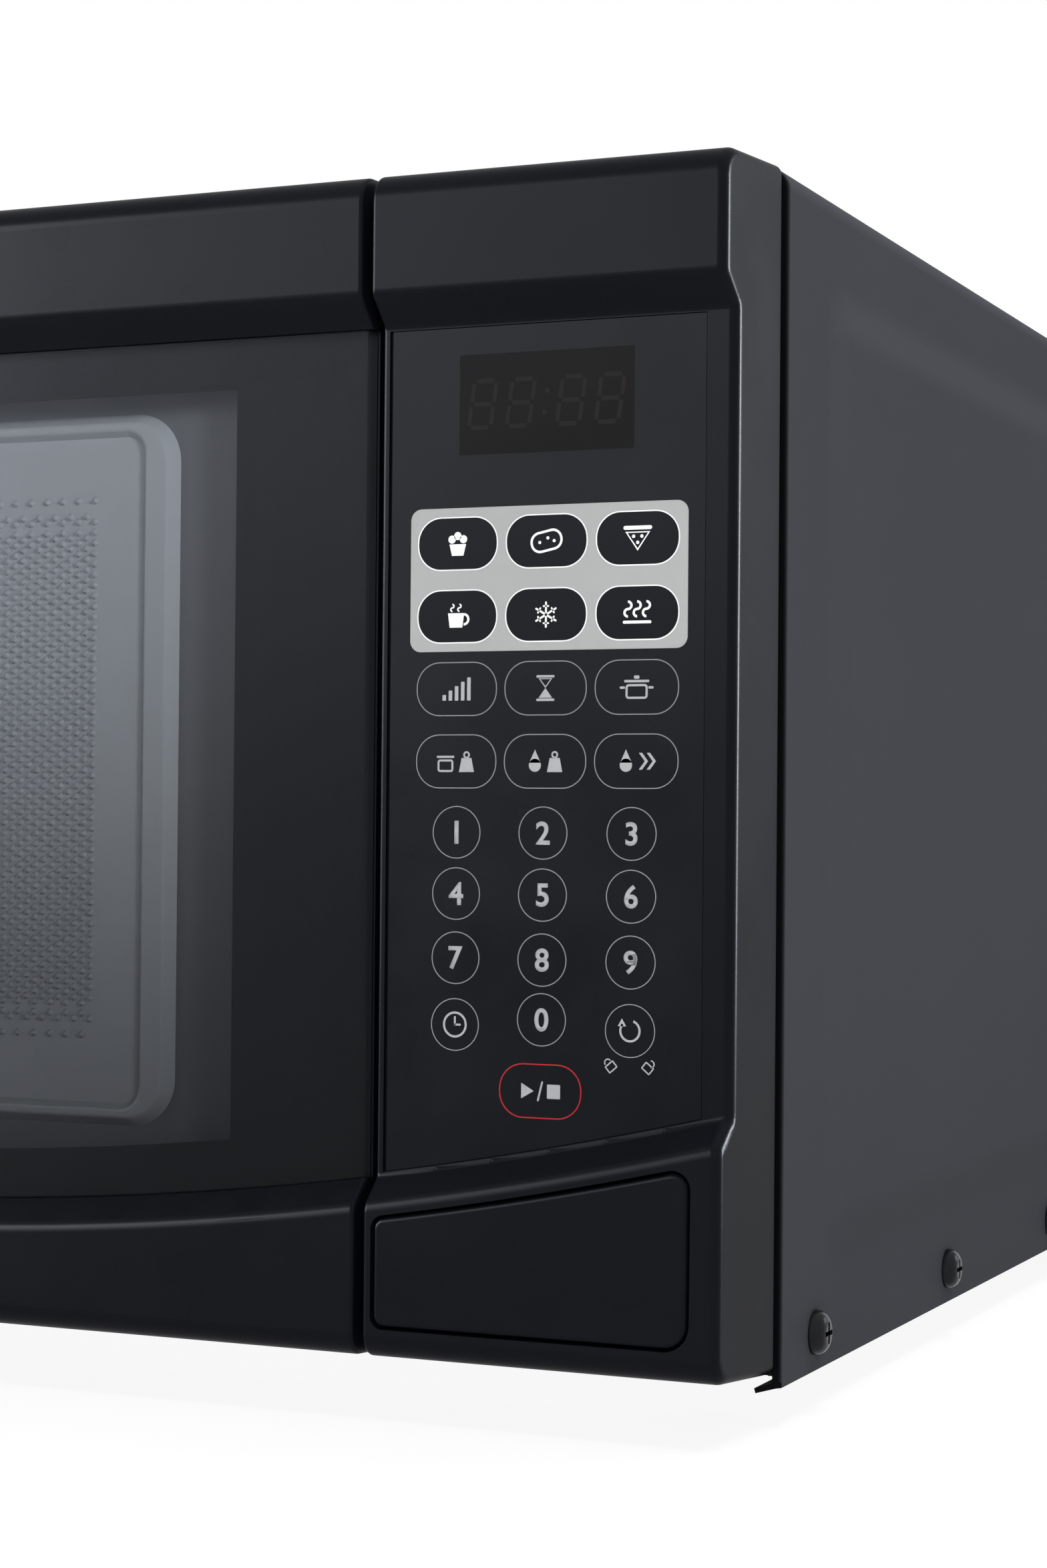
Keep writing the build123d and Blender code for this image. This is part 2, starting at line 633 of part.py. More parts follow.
def microswitches():
    """Three snap switches: one behind each hook's tip and one under the upper hook."""
    half = SWITCH_SIZE[0] / 2
    xs = (HOOK_MID_X - half, HOOK_MID_X + half)
    switches = []
    for low in HOOK_ARM_Z:
        bottom = rear_switch_low(low)
        case = block(xs, (SWITCH_Y, SWITCH_Y + SWITCH_SIZE[1]), (bottom, bottom + SWITCH_SIZE[2]))
        for rise in (4.0, 14.0, 24.0):
            tab_z = (bottom + rise - 0.4, bottom + rise + 0.4)
            case += block((HOOK_MID_X - 3, HOOK_MID_X + 3), (SWITCH_Y + 15.5, SWITCH_Y + 24.0), tab_z)
        mid = low + PLUNGER_RISE
        case -= rod_y(HOOK_MID_X, (SWITCH_Y - 1, SWITCH_Y + 6.0), mid, PLUNGER_R + 0.05)
        switches.append(case)
    ys, zs = monitor_switch_limits()
    case = block(xs, ys, zs)
    for y in (ys[0] + 4.0, ys[0] + 14.0, ys[0] + 24.0):
        case += block((HOOK_MID_X - 3, HOOK_MID_X + 3), (y - 0.4, y + 0.4), (zs[0] - 8.0, zs[0] + 0.5))
    case -= rod_z(HOOK_MID_X, -116.0, (zs[1] - 6.0, zs[1] + 1), PLUNGER_R + 0.05)
    switches.append(case)
    pegs = switch_peg_points()
    group = []
    for number, case in enumerate(switches):
        for y, z in pegs[2 * number:2 * number + 2]:
            case -= rod_x((xs[0] - 1, xs[1] + 1), y, z, 1.4)
        group.append(case)
    return Compound(children=group)


def rear_plunger(hook_low):
    """The pin of a switch behind a hook's tip."""
    mid = hook_low + PLUNGER_RISE
    return rod_y(HOOK_MID_X, (HOOK_TIP_Y + PLAY, SWITCH_Y + 4.0), mid, PLUNGER_R)


def monitor_plunger():
    """The pin of the switch under the upper hook."""
    top = HOOK_ARM_Z[1] - HOOK_DROP - PLAY
    return rod_z(HOOK_MID_X, -116.0, (monitor_switch_limits()[1][1] - 4.0, top), PLUNGER_R)


# Control panel

def control_fascia():
    """The moulded control panel with its overlay seat, display window and button well."""
    xs = (FASCIA_LEFT, FRONT_HALF)
    rounds = (INNER_SIDE_ROUND, SIDE_ROUND)
    envelope = front_moulding(xs, Y_FASCIA_BACK, rounds, HOLLOW_ROUND)
    seat_y = Y_GLASS + OVERLAY_THICK
    web = seat_y + 2.2
    body = envelope - moulding_hollow(xs, Y_FASCIA_BACK + 1, web, WALL)
    seat = block((OVERLAY_X[0] - OVERLAY_GROOVE, OVERLAY_X[1] + 0.1), (Y_GLASS - 0.5, seat_y), (0, 300))
    body -= seat & recess(seat_y, OVERLAY_INSET)
    body -= block(DISPLAY_X, (seat_y - 1, web + 1), DISPLAY_Z)
    outline = button_outline()
    well = extrude(front_plane(Y_BAND + 13.0) * offset(outline, amount=BUTTON_GAP + 1.8), amount=12.0)
    body += well & envelope
    well_depth = BUTTON_DEPTH + BUTTON_TRAVEL + 1.5
    body -= extrude(
        front_plane(Y_BAND + well_depth) * offset(outline, amount=BUTTON_GAP), amount=well_depth + 1.0
    )
    inner = (xs[0] + WALL, xs[1] - WALL)
    for tab_x in ((inner[0] - 0.5, inner[0] + 4.0), (inner[1] - 4.0, inner[1] + 0.5)):
        for tab_z in ((62.0, 68.0), (244.0, 250.0)):
            body += block(tab_x, (-152.0, Y_SEAM), tab_z)
    for x in (BOARD_X[0] + 5.0, BOARD_X[1] - 5.0):
        for z in (BOARD_Z[0] + 5.0, BOARD_Z[1] - 18.0):
            body += rod_y(x, (web - 0.5, BOARD_Y[0]), z, 3.2)
    return body


def keypad_overlay():
    """The printed membrane sheet that carries all the keys."""
    sheet = recess(Y_GLASS + OVERLAY_THICK, OVERLAY_INSET - 0.2)
    return sheet & block(OVERLAY_X, (Y_GLASS, Y_GLASS + OVERLAY_THICK), (0, 300))


def display_module():
    """The numeral display behind the overlay, standing on the control board."""
    seat_y = Y_GLASS + OVERLAY_THICK
    edge = 0.4
    lens_x = (DISPLAY_X[0] + edge, DISPLAY_X[1] - edge)
    lens_z = (DISPLAY_Z[0] + edge, DISPLAY_Z[1] - edge)
    display = block(lens_x, (seat_y + 0.2, -158.0), lens_z)
    body_x = (DISPLAY_X[0] - 1.5, DISPLAY_X[1] + 1.5)
    body_z = (DISPLAY_Z[0] - 2.0, DISPLAY_Z[1] + 2.0)
    return display + block(body_x, (seat_y + 2.4, BOARD_Y[0]), body_z)


def control_board():
    """The control board with its relays, small transformer, buzzer and connectors."""
    board = block(BOARD_X, BOARD_Y, BOARD_Z)
    back = BOARD_Y[1] - 0.2
    board += block((156.0, 188.0), (back, back + 27.0), (84.0, 112.0))
    for z in (122.0, 142.0):
        board += block((158.0, 177.0), (back, back + 16.0), (z, z + 15.5))
        board += block((186.0, 205.0), (back, back + 16.0), (z, z + 15.5))
    board += rod_y(166.0, (back, back + 9.0), 176.0, 7.0)
    for x in (184.0, 195.0, 206.0):
        board += rod_y(x, (back, back + 12.5), 172.0, 4.2)
    board += block((156.0, 208.0), (back, back + 7.0), (190.0, 196.0))
    board += block((160.0, 178.0), (back, back + 3.0), (206.0, 218.0))
    for x in (BOARD_X[0] + 5.0, BOARD_X[1] - 5.0):
        for z in (BOARD_Z[0] + 5.0, BOARD_Z[1] - 18.0):
            board += rod_y(x, (back, back + 2.4), z, 3.0)
    return board


# Cabinet and chassis

def wrap_prism(inset, ys, z_low):
    """An upside-down U profile of the cabinet, inset from its outer skin."""
    half = CABINET_HALF - inset
    body = block((-half, half), ys, (z_low, CABINET_TOP - inset))
    corners = body.edges().filter_by(Axis.Y).group_by(Axis.Z)[-1]
    return fillet(corners, CABINET_BEND - min(inset, 3.0))


def emboss(side, lift):
    """The raised field of a side wall, pushed outwards by a shallow slope."""
    mid_y = sum(EMBOSS_Y) / 2
    mid_z = sum(EMBOSS_Z) / 2
    half_y = (EMBOSS_Y[1] - EMBOSS_Y[0]) / 2
    half_z = (EMBOSS_Z[1] - EMBOSS_Z[0]) / 2
    base_x = CABINET_HALF - lift
    wall = Plane(origin=(side * base_x, mid_y, mid_z), x_dir=(0, 1, 0), z_dir=(side, 0, 0))
    foot = wall * RectangleRounded(2 * half_y, 2 * half_z, EMBOSS_CORNER)
    slope = EMBOSS_SLOPE
    corner = EMBOSS_CORNER - slope
    crown = RectangleRounded(2 * (half_y - slope), 2 * (half_z - slope), corner)
    body = frustum(foot, wall.offset(EMBOSS_RISE) * crown)
    level = side * (base_x + EMBOSS_RISE)
    rim = body.edges().filter_by_position(Axis.X, level - 0.01, level + 0.01)
    return fillet(rim, EMBOSS_SOFT)


def emboss_foot(shell, side):
    """The edges where a side wall bends into its raised field."""
    level = side * CABINET_HALF
    edges = shell.edges().filter_by_position(Axis.X, level - 0.01, level + 0.01)
    edges = edges.filter_by(lambda e: EMBOSS_Y[0] - 1 < e.center().Y < EMBOSS_Y[1] + 1)
    return edges.filter_by(lambda e: EMBOSS_Z[0] - 1 < e.center().Z < EMBOSS_Z[1] + 1)


def flange_lip(side):
    """The front end of a bottom flange, turned a little downwards."""
    edge = CABINET_HALF
    outline = [
        (edge, BASE_Z[0]),
        (edge, CABINET_BOTTOM),
        (edge - 1.2, CABINET_BOTTOM - 0.2),
        (edge - 5.6, CABINET_BOTTOM - 1.5),
        (edge - 5.9, CABINET_BOTTOM - 0.5),
        (edge - 1.5, BASE_Z[0]),
    ]
    face = make_face(Polyline(*[(side * x, z) for x, z in outline], close=True))
    return extrude(front_plane(Y_SEAM + LIP_DEPTH) * face, amount=LIP_DEPTH)


def outer_cabinet():
    """The folded steel cover: two embossed sides, a top, hemmed front and rear flange."""
    ys = (Y_SEAM, Y_BACK)
    shell = wrap_prism(0.0, ys, CABINET_BOTTOM)
    front_edges = at_depth(shell.edges(), Y_SEAM).filter_by(lambda e: e.center().Z > 10)
    shell = fillet(front_edges, 0.8)
    for side in (-1, 1):
        shell += emboss(side, 0.0)
        shell = fillet(emboss_foot(shell, side), EMBOSS_SOFT)
    hem_y = (Y_SEAM - 1, Y_SEAM + HEM_DEPTH)
    shell -= wrap_prism(HEM, hem_y, BASE_Z[0])
    shell -= wrap_prism(SHEET, (hem_y[1], Y_BACK - SHEET), BASE_Z[0])
    for side in (-1, 1):
        shell -= emboss(side, SHEET)
    under = CABINET_HALF - BOTTOM_FLANGE
    shell -= block((-under, under), (Y_SEAM - 1, Y_BACK + 1), (0, BASE_Z[0] + 0.5))
    lip_y = (Y_SEAM - 1, Y_SEAM + LIP_DEPTH)
    shell -= block((-CABINET_HALF + SHEET, CABINET_HALF - SHEET), lip_y, (0, BASE_Z[0]))
    for side in (-1, 1):
        shell += flange_lip(side)
    half = CABINET_HALF - REAR_FLANGE
    shell -= block((-half, half), (Y_BACK - 2, Y_BACK + 1), (0, CABINET_TOP - REAR_FLANGE))
    for y in SIDE_SCREW_Y:
        shell -= rod_x((-CABINET_HALF - 1, CABINET_HALF + 1), y, SIDE_SCREW_Z, SCREW_SHANK_R)
    for x, z in rear_screw_points():
        shell -= rod_y(x, (Y_BACK - 2, Y_BACK + 1), z, SCREW_SHANK_R)
    return shell


def rear_screw_points():
    """Where the rear flange is screwed to the rear panel, as (x, z)."""
    points = []
    for side in (-1, 1):
        for z in (40.0, 132.0, 204.0):
            points.append((side * 219.0, z))
    return points


def pan_screw(length):
    """A pan-head screw along +Z under its head's seat, with a cross recess."""
    head = Cylinder(SCREW_HEAD_R, SCREW_HEAD_TALL, align=(Align.CENTER, Align.CENTER, Align.MIN))
    head = fillet(head.edges().group_by(Axis.Z)[-1], 2.8)
    for turn in (0, 90):
        slot = Pos(0, 0, SCREW_HEAD_TALL) * Rot(0, 0, turn) * Box(4.6, 1.0, 3.2)
        head -= slot
    shank = Cylinder(SCREW_SHANK_R, length, align=(Align.CENTER, Align.CENTER, Align.MAX))
    return head + shank


def cabinet_screws():
    """The side and rear screws that hold the cover to the chassis."""
    screws = []
    for side in (-1, 1):
        for y in SIDE_SCREW_Y:
            place = Plane((side * CABINET_HALF, y, SIDE_SCREW_Z), x_dir=(0, 1, 0), z_dir=(side, 0, 0))
            screws.append(place.location * pan_screw(6.0))
    for x, z in rear_screw_points():
        place = Plane((x, Y_BACK, z), x_dir=(1, 0, 0), z_dir=(0, 1, 0))
        screws.append(place.location * pan_screw(5.0))
    return Compound(children=screws)


def base_plate():
    """The chassis pan: upturned sides, stiffening beads and vents below the power parts."""
    half = CABINET_HALF - HEM - 0.2
    ys = (Y_SEAM + SHEET, Y_BACK - 2 * SHEET)
    plate = block((-half, half), ys, BASE_Z)
    for side in (-1, 1):
        outer = sorted((side * half, side * (half - SHEET)))
        plate += block(outer, ys, (BASE_Z[0], 26.0))
        corner = sorted((side * 198.0, side * (half + 1)))
        plate -= block(corner, (ys[0] - 1, ys[0] + LIP_DEPTH), (BASE_Z[0] - 1, 30.0))
    plate += block((-196.0, 196.0), (ys[0], ys[0] + SHEET), (BASE_Z[0], 18.0))
    for x in (-150.0, -95.0, 15.0, 70.0):
        plate += rod_y(x, (-105.0, 120.0), BASE_Z[0] - 3.0, 7.0) & block((-300, 300), (-200, 200), (9.4, 30))
        plate -= rod_y(x, (-104.0, 119.0), BASE_Z[0] - 3.0, 6.0)
    for column in ((126.0, 156.0), (190.0, 214.0)):
        for row in range(6):
            y = 106.0 + 8.0 * row
            plate -= block(column, (y, y + 3.5), (5, 15))
    for x, y in FOOT_AT:
        plate -= rod_z(x, y, (5, 15), 4.0)
    for y in SIDE_SCREW_Y:
        plate -= rod_x((-CABINET_HALF, CABINET_HALF), y, SIDE_SCREW_Z, SCREW_SHANK_R)
    return plate


def feet():
    """Four moulded feet pegged into the base plate."""
    group = []
    for x, y in FOOT_AT:
        pad = Pos(x, y, BASE_Z[0] / 2) * Cone(FOOT_R[0], FOOT_R[1], BASE_Z[0])
        pad = chamfer(pad.edges().group_by(Axis.Z)[0], 1.0)
        peg = rod_z(x, y, (BASE_Z[0] - 0.5, BASE_Z[1] + 3.0), 4.0)
        group.append(pad + peg)
    return Compound(children=group)


def rear_field(mid, half, lift):
    """A raised field of the rear panel, pushed outwards by a short slope."""
    wall = Plane(origin=(0, Y_BACK - SHEET - lift, 0), x_dir=(-1, 0, 0), z_dir=(0, 1, 0))
    foot = wall * rounded((-mid[0], mid[1]), half, REAR_CORNER)
    inner = (half[0] - REAR_SLOPE, half[1] - REAR_SLOPE)
    crown = rounded((-mid[0], mid[1]), inner, REAR_CORNER - REAR_SLOPE)
    field = frustum(foot, wall.offset(REAR_RISE) * crown)
    return fillet(at_depth(field.edges(), Y_BACK - SHEET - lift + REAR_RISE), REAR_SOFT)


def rear_panel():
    """The back plate: raised fields, a round fan grille, vent slots and the gland hole."""
    half = CABINET_HALF - HEM - 0.2
    ys = (Y_BACK - 2 * SHEET, Y_BACK - SHEET)
    plate = block((-half, half), ys, (BASE_Z[1], CABINET_TOP - HEM))
    plate = fillet(plate.edges().filter_by(Axis.Y).group_by(Axis.Z)[-1], CABINET_BEND)
    for mid, size in (((-62.0, 98.0), (138.0, 62.0)), ((-127.4, 206.0), (56.0, 28.0))):
        plate += rear_field(mid, size, 0.0)
        plate -= rear_field(mid, size, SHEET)
    through = (ys[0] - 1, ys[1] + REAR_RISE + 1)
    pitch, wide, reach = 8.6, 4.2, 43.0
    for step in range(-4, 5):
        x = FAN_X + step * pitch
        tall = math.sqrt(reach ** 2 - (step * pitch) ** 2)
        plate -= block((x - wide / 2, x + wide / 2), through, (FAN_Z - tall, FAN_Z - 3.0))
        plate -= block((x - wide / 2, x + wide / 2), through, (FAN_Z + 3.0, FAN_Z + tall))
    for step in range(10):
        x = -170.0 + 9.0 * step
        plate -= block((x, x + wide), through, (190.0, 222.0))
    for step in range(6):
        z = 40.0 + 8.0 * step
        plate -= block((132.0, 204.0), through, (z, z + 3.6))
    plate -= rod_y(GLAND_AT[0], through, GLAND_AT[1], 6.2)
    for x, z in rear_screw_points():
        plate -= rod_y(x, through, z, SCREW_SHANK_R)
    return plate


def front_plate():
    """The steel front of the chassis with the oven mouth and the latch and hinge slots."""
    half = CABINET_HALF - HEM - 0.2
    ys = (Y_SEAM, Y_SEAM + SHEET)
    plate = block((-half, half), ys, (BASE_Z[1] + 0.4, CABINET_TOP - HEM - 0.2))
    plate = fillet(plate.edges().filter_by(Axis.Y).group_by(Axis.Z)[-1], CABINET_BEND)
    through = (ys[0] - 1, ys[1] + 1)
    plate -= cavity_prism(through, 0.0)
    plate -= block(PANEL_OPENING[0], through, PANEL_OPENING[1])
    for low in HOOK_ARM_Z:
        plate -= block(SLOT_X, through, (low - 7.0, low + 14.0))
    plate -= block((STEM_X[0] - 2, STEM_X[1] + 2), through, (STEM_Z[0] - 2.5, STEM_Z[1] + 2.5))
    arm = (HINGE_X - HINGE_ARM_HALF, HINGE_X + HINGE_ARM_HALF)
    for levels in HINGE_LEVELS:
        plate -= block(arm, through, levels)
    return plate


def cavity_prism(ys, grow):
    """The cavity's rounded cross-section between two depths, grown by a sheet or not."""
    middle = (sum(CAVITY_X) / 2, sum(CAVITY_Z) / 2)
    half = ((CAVITY_X[1] - CAVITY_X[0]) / 2 + grow, (CAVITY_Z[1] - CAVITY_Z[0]) / 2 + grow)
    return front_slab(middle, half, CAVITY_ROUND + grow, ys)


def cavity_liner():
    """The oven cavity: an open-fronted steel box with its feed, lamp and vent openings."""
    box = cavity_prism((CAVITY_Y[0], CAVITY_Y[1] + SHEET), SHEET)
    box = fillet(at_depth(box.edges(), CAVITY_Y[1] + SHEET), 4.0)
    inside = cavity_prism((CAVITY_Y[0] - 1, CAVITY_Y[1]), 0.0)
    box -= fillet(at_depth(inside.edges(), CAVITY_Y[1]), 3.0)
    right = (CAVITY_X[1] - 1, LINER_RIGHT + 1)
    left = (CAVITY_X[0] - 2, CAVITY_X[0] + 1)
    box -= block(right, (0.0, 48.0), (146.0, 184.0))
    box -= block(right, (LAMP_AT[0] - 8, LAMP_AT[0] + 8), (LAMP_AT[1] - 6, LAMP_AT[1] + 6))
    for step in range(4):
        z = 146.0 + 11.0 * step
        box -= block(right, (-84.0, -66.0), (z, z + 4.0))
    for step in range(5):
        z = 180.0 + 9.0 * step
        box -= block(left, (80.0, 120.0), (z, z + 4.0))
    return box - rod_z(SPIN_X, SPIN_Y, (FLOOR_UNDER - 1, CAVITY_Z[0] + 1), 9.0)


# Microwave feed

def waveguide():
    """A flanged sheet-steel duct from the magnetron to the cavity wall."""
    ys, zs = (-46.0, 60.0), (129.0, 201.0)
    duct = block((LINER_RIGHT, LINER_RIGHT + SHEET), (ys[0] - 6, ys[1] + 8), (zs[0] - 8, zs[1] + 8))
    duct += block((LINER_RIGHT, YOKE_X[0]), ys, zs)
    inner = (LINER_RIGHT - 1, YOKE_X[0] - SHEET)
    duct -= block(inner, (ys[0] + SHEET, ys[1] - SHEET), (zs[0] + SHEET, zs[1] - SHEET))
    return duct - rod_x((120.0, 150.0), MAGNETRON_Y, MAGNETRON_Z, 11.0)


def waveguide_cover():
    """The mica sheet over the feed opening, inside the cavity."""
    wall = Plane(origin=(CAVITY_X[1], 24.0, 165.0), x_dir=(0, 1, 0), z_dir=(-1, 0, 0))
    return extrude(wall * RectangleRounded(60.0, 50.0, 5.0), amount=0.5)


def magnetron_yoke():
    """The steel frame of the magnetron, open along the cooling air."""
    ys = (MAGNETRON_Y - YOKE_HALF_Y, MAGNETRON_Y + YOKE_HALF_Y)
    zs = (MAGNETRON_Z - YOKE_HALF_Z, MAGNETRON_Z + YOKE_HALF_Z)
    yoke = block(YOKE_X, ys, zs)
    yoke -= block((YOKE_X[0] + 2, YOKE_X[1] - 2), (ys[0] - 1, ys[1] + 1), (zs[0] + 2, zs[1] - 2))
    return yoke - rod_x((130.0, 190.0), MAGNETRON_Y, MAGNETRON_Z, 10.0)


def magnetron_anode():
    """The copper anode with its antenna on one side and its heater stem on the other."""
    y, z = MAGNETRON_Y, MAGNETRON_Z
    anode = rod_x((146.0, 176.0), y, z, ANODE_R)
    anode += rod_x((122.0, 147.0), y, z, 7.0)
    anode += rod_x((116.0, 124.0), y, z, 8.0)
    return anode + rod_x((175.0, 194.0), y, z, 8.0)


def magnetron_magnets():
    """Two ring magnets between the anode and the yoke."""
    y, z = MAGNETRON_Y, MAGNETRON_Z
    rings = []
    for xs in ((YOKE_X[0] + 2, 146.0), (176.0, YOKE_X[1] - 2)):
        rings.append(rod_x(xs, y, z, 27.0) - rod_x((100, 220), y, z, 9.0))
    return Compound(children=rings)


def magnetron_fins():
    """Stacked aluminium fins round the anode."""
    ys = (MAGNETRON_Y - YOKE_HALF_Y + 4, MAGNETRON_Y + YOKE_HALF_Y - 4)
    zs = (MAGNETRON_Z - YOKE_HALF_Z + 2, MAGNETRON_Z + YOKE_HALF_Z - 2)
    fins = []
    for number in range(FIN_COUNT):
        x = 148.6 + 4.8 * number
        fin = block((x, x + 0.8), ys, zs)
        fins.append(fin - rod_x((100, 220), MAGNETRON_Y, MAGNETRON_Z, ANODE_R))
    return Compound(children=fins)


def magnetron_filter_box():
    """The shielded box over the heater stem, with its terminal block."""
    ys = (MAGNETRON_Y - 32.0, MAGNETRON_Y + 32.0)
    zs = (MAGNETRON_Z - 28.0, MAGNETRON_Z + 28.0)
    xs = (YOKE_X[1], 206.0)
    case = block(xs, ys, zs)
    case -= block((xs[0] - 1, xs[1] - SHEET), (ys[0] + 1, ys[1] - 1), (zs[0] + 1, zs[1] - 1))
    return case + block((190.0, 202.0), (MAGNETRON_Y - 14, MAGNETRON_Y + 14), (zs[0] - 9.0, zs[0] + 0.5))


# High-voltage supply

def transformer_core():
    """The laminated E-I core standing on its welded foot plates."""
    core = block(CORE_X, CORE_Y, CORE_Z)
    for left in (CORE_X[0] + CORE_LEG, CORE_X[1] - 2 * CORE_LEG):
        window_z = (CORE_Z[0] + CORE_LEG, CORE_Z[1] - CORE_LEG)
        core -= block((left, left + CORE_LEG), (CORE_Y[0] - 1, CORE_Y[1] + 1), window_z)
    for xs in ((CORE_X[0] - 4, CORE_X[0] + 14), (CORE_X[1] - 14, CORE_X[1] + 4)):
        foot = block(xs, (CORE_Y[0] - 14, CORE_Y[1] + 14), (BASE_Z[1], CORE_Z[0] + 0.2))
        for y in (CORE_Y[0] - 8, CORE_Y[1] + 8):
            foot -= rod_z(sum(xs) / 2, y, (0, 30), 2.6)
        core += foot
    return core


def transformer_windings():
    """Primary and secondary coils on the centre leg, with rounded end turns."""
    mid_x = sum(CORE_X) / 2
    mid_y = sum(CORE_Y) / 2
    leg = (CORE_X[1] - CORE_X[0]) / 2 - 2 * CORE_LEG
    depth = (CORE_Y[1] - CORE_Y[0]) / 2
    window = (CORE_Z[0] + CORE_LEG, CORE_Z[1] - CORE_LEG)
    coils = []
    for low, high in ((window[0], window[0] + 19.0), (window[1] - 19.0, window[1] - 0.4)):
        outline = RectangleRounded(2 * (leg + CORE_LEG - 0.4), 2 * (depth + 13.0), 11.0)
        hole = Rectangle(2 * leg + 0.4, 2 * depth + 0.4)
        coil = extrude(outline - hole, amount=high - low)
        coils.append(Pos(mid_x, mid_y, low) * coil)
    return Compound(children=coils)


def can_section(grow):
    """The flat-oval section of the capacitor can, across X and Z."""
    wide = CAN_X[1] - CAN_X[0]
    return SlotOverall(wide + 2 * grow, CAN_TALL + 2 * grow)


def hv_capacitor():
    """The flat-oval capacitor can with two blade terminals."""
    middle = (sum(CAN_X) / 2, BASE_Z[1] + CAN_TALL / 2)
    place = front_plane(CAN_Y[1]) * Pos(middle[0], middle[1])
    can = extrude(place * can_section(0.0), amount=CAN_Y[1] - CAN_Y[0])
    can = fillet(at_depth(can.edges(), CAN_Y[0]), 1.5)
    for shift in (-11.0, 11.0):
        x = middle[0] + shift
        can += rod_y(x, (CAN_Y[1] - 0.5, CAN_Y[1] + 7.0), middle[1], 5.0)
        can += block((x - 3.2, x + 3.2), (CAN_Y[1] + 6.0, CAN_Y[1] + 15.0), (middle[1] - 0.4, middle[1] + 0.4))
    return can


def capacitor_clamp():
    """The strap over the capacitor, with a tab each side on the base plate."""
    middle = (sum(CAN_X) / 2, BASE_Z[1] + CAN_TALL / 2)
    place = front_plane(-28.0) * Pos(middle[0], middle[1])
    strap = extrude(place * (can_section(1.0) - can_section(0.0)), amount=13.0)
    strap -= block((0, 300), (-60, 0), (0, middle[1]))
    for side, edge in ((-1, CAN_X[0]), (1, CAN_X[1])):
        leg = sorted((edge, edge + side * 1.0))
        strap += block(leg, (-41.0, -28.0), (BASE_Z[1], middle[1] + 0.2))
        tab = sorted((edge, edge + side * 10.0))
        strap += block(tab, (-41.0, -28.0), (BASE_Z[1], BASE_Z[1] + 1.0))
    return strap


def hv_diode():
    """The diode stick with its earth lug on the base plate."""
    diode = rod_y(207.0, (-70.0, -48.0), BASE_Z[1] + 5.0, 3.4)
    diode += rod_y(207.0, (-78.0, -44.0), BASE_Z[1] + 5.0, 0.8)
    diode += block((203.0, 211.0), (-90.0, -76.0), (BASE_Z[1], BASE_Z[1] + 1.0))
    return diode + block((206.0, 208.0), (-79.0, -76.0), (BASE_Z[1] + 0.5, BASE_Z[1] + 6.0))


# Cooling and light

def fan_shroud():
    """The fan's plate and ring on four posts, with struts that carry the motor."""
    xs, zs = (FAN_X - 52.0, FAN_X + 52.0), (FAN_Z - 52.0, FAN_Z + 52.0)
    shroud = block(xs, (100.0, 103.0), zs)
    shroud += rod_y(FAN_X, (100.0, 125.0), FAN_Z, FAN_RING_R + 3.0)
    shroud -= rod_y(FAN_X, (99.0, 126.0), FAN_Z, FAN_RING_R)
    spider = rod_y(FAN_X, (122.0, 125.0), FAN_Z, 15.0)
    for turn in (30, 150, 270):
        spoke = Rot(0, turn, 0) * block((0, FAN_RING_R + 1), (122.0, 125.0), (-3, 3))
        spider += Pos(FAN_X, 0, FAN_Z) * spoke
    shroud += spider - rod_y(FAN_X, (121.0, 126.0), FAN_Z, 4.0)
    for x in xs:
        for z in zs:
            post_x = sorted((x, x + (8 if x < FAN_X else -8)))
            post_z = sorted((z, z + (8 if z < FAN_Z else -8)))
            shroud += block(post_x, (102.0, Y_BACK - 2 * SHEET), post_z)
    for x in (xs[0] + 4, xs[1] - 4):
        for y in (114.0, 152.0):
            shroud += rod_z(x, y, (zs[1] - 1, zs[1] + 4.0), 2.5)
    return shroud


def fan_motor():
    """A shaded-pole motor: laminated frame, coil and two bearing plates."""
    ys = (127.0, 143.0)
    stack = block((FAN_X - 20, FAN_X + 20), ys, (FAN_Z - 36, FAN_Z + 18))
    stack -= rod_y(FAN_X, (120.0, 150.0), FAN_Z, 13.0)
    stack -= block((FAN_X - 11, FAN_X + 11), (120.0, 150.0), (FAN_Z - 27, FAN_Z - 15.5))
    for face in ((125.0, 127.2), (142.8, 145.0)):
        plate = block((FAN_X - 17, FAN_X + 17), face, (FAN_Z - 9, FAN_Z + 9))
        stack += plate - rod_y(FAN_X, (120.0, 150.0), FAN_Z, 2.06)
    coil = block((FAN_X - 10.5, FAN_X + 10.5), (ys[0] - 5, ys[1] + 5), (FAN_Z - 41, FAN_Z - 16.5))
    return stack + fillet(coil.edges().filter_by(Axis.X), 4.0)


def fan_shaft():
    """The motor's rotor and shaft."""
    return rod_y(FAN_X, (106.0, 148.0), FAN_Z, 2.0) + rod_y(FAN_X, (128.5, 141.5), FAN_Z, 12.4)


def fan_blade():
    """A five-bladed moulded impeller with twisted blades."""
    hub = rod_y(FAN_X, (105.0, 119.0), FAN_Z, 12.0)
    blade_y = 112.0
    for number in range(FAN_BLADES):
        sections = []
        for radius, chord, pitch in ((10.0, 13.0, 50.0), (27.0, 21.0, 36.0), (44.0, 25.0, 24.0)):
            at = Plane(origin=(radius, 0, 0), x_dir=(0, 0, 1), z_dir=(1, 0, 0))
            sections.append((at * (Rot(0, 0, pitch) * Rectangle(chord, 1.6))).face())
        blade = loft(sections)
        turn = Rot(0, number * 360.0 / FAN_BLADES, 0)
        hub += Pos(FAN_X, blade_y, FAN_Z) * turn * blade
    return hub - rod_y(FAN_X, (100.0, 125.0), FAN_Z, 2.0)


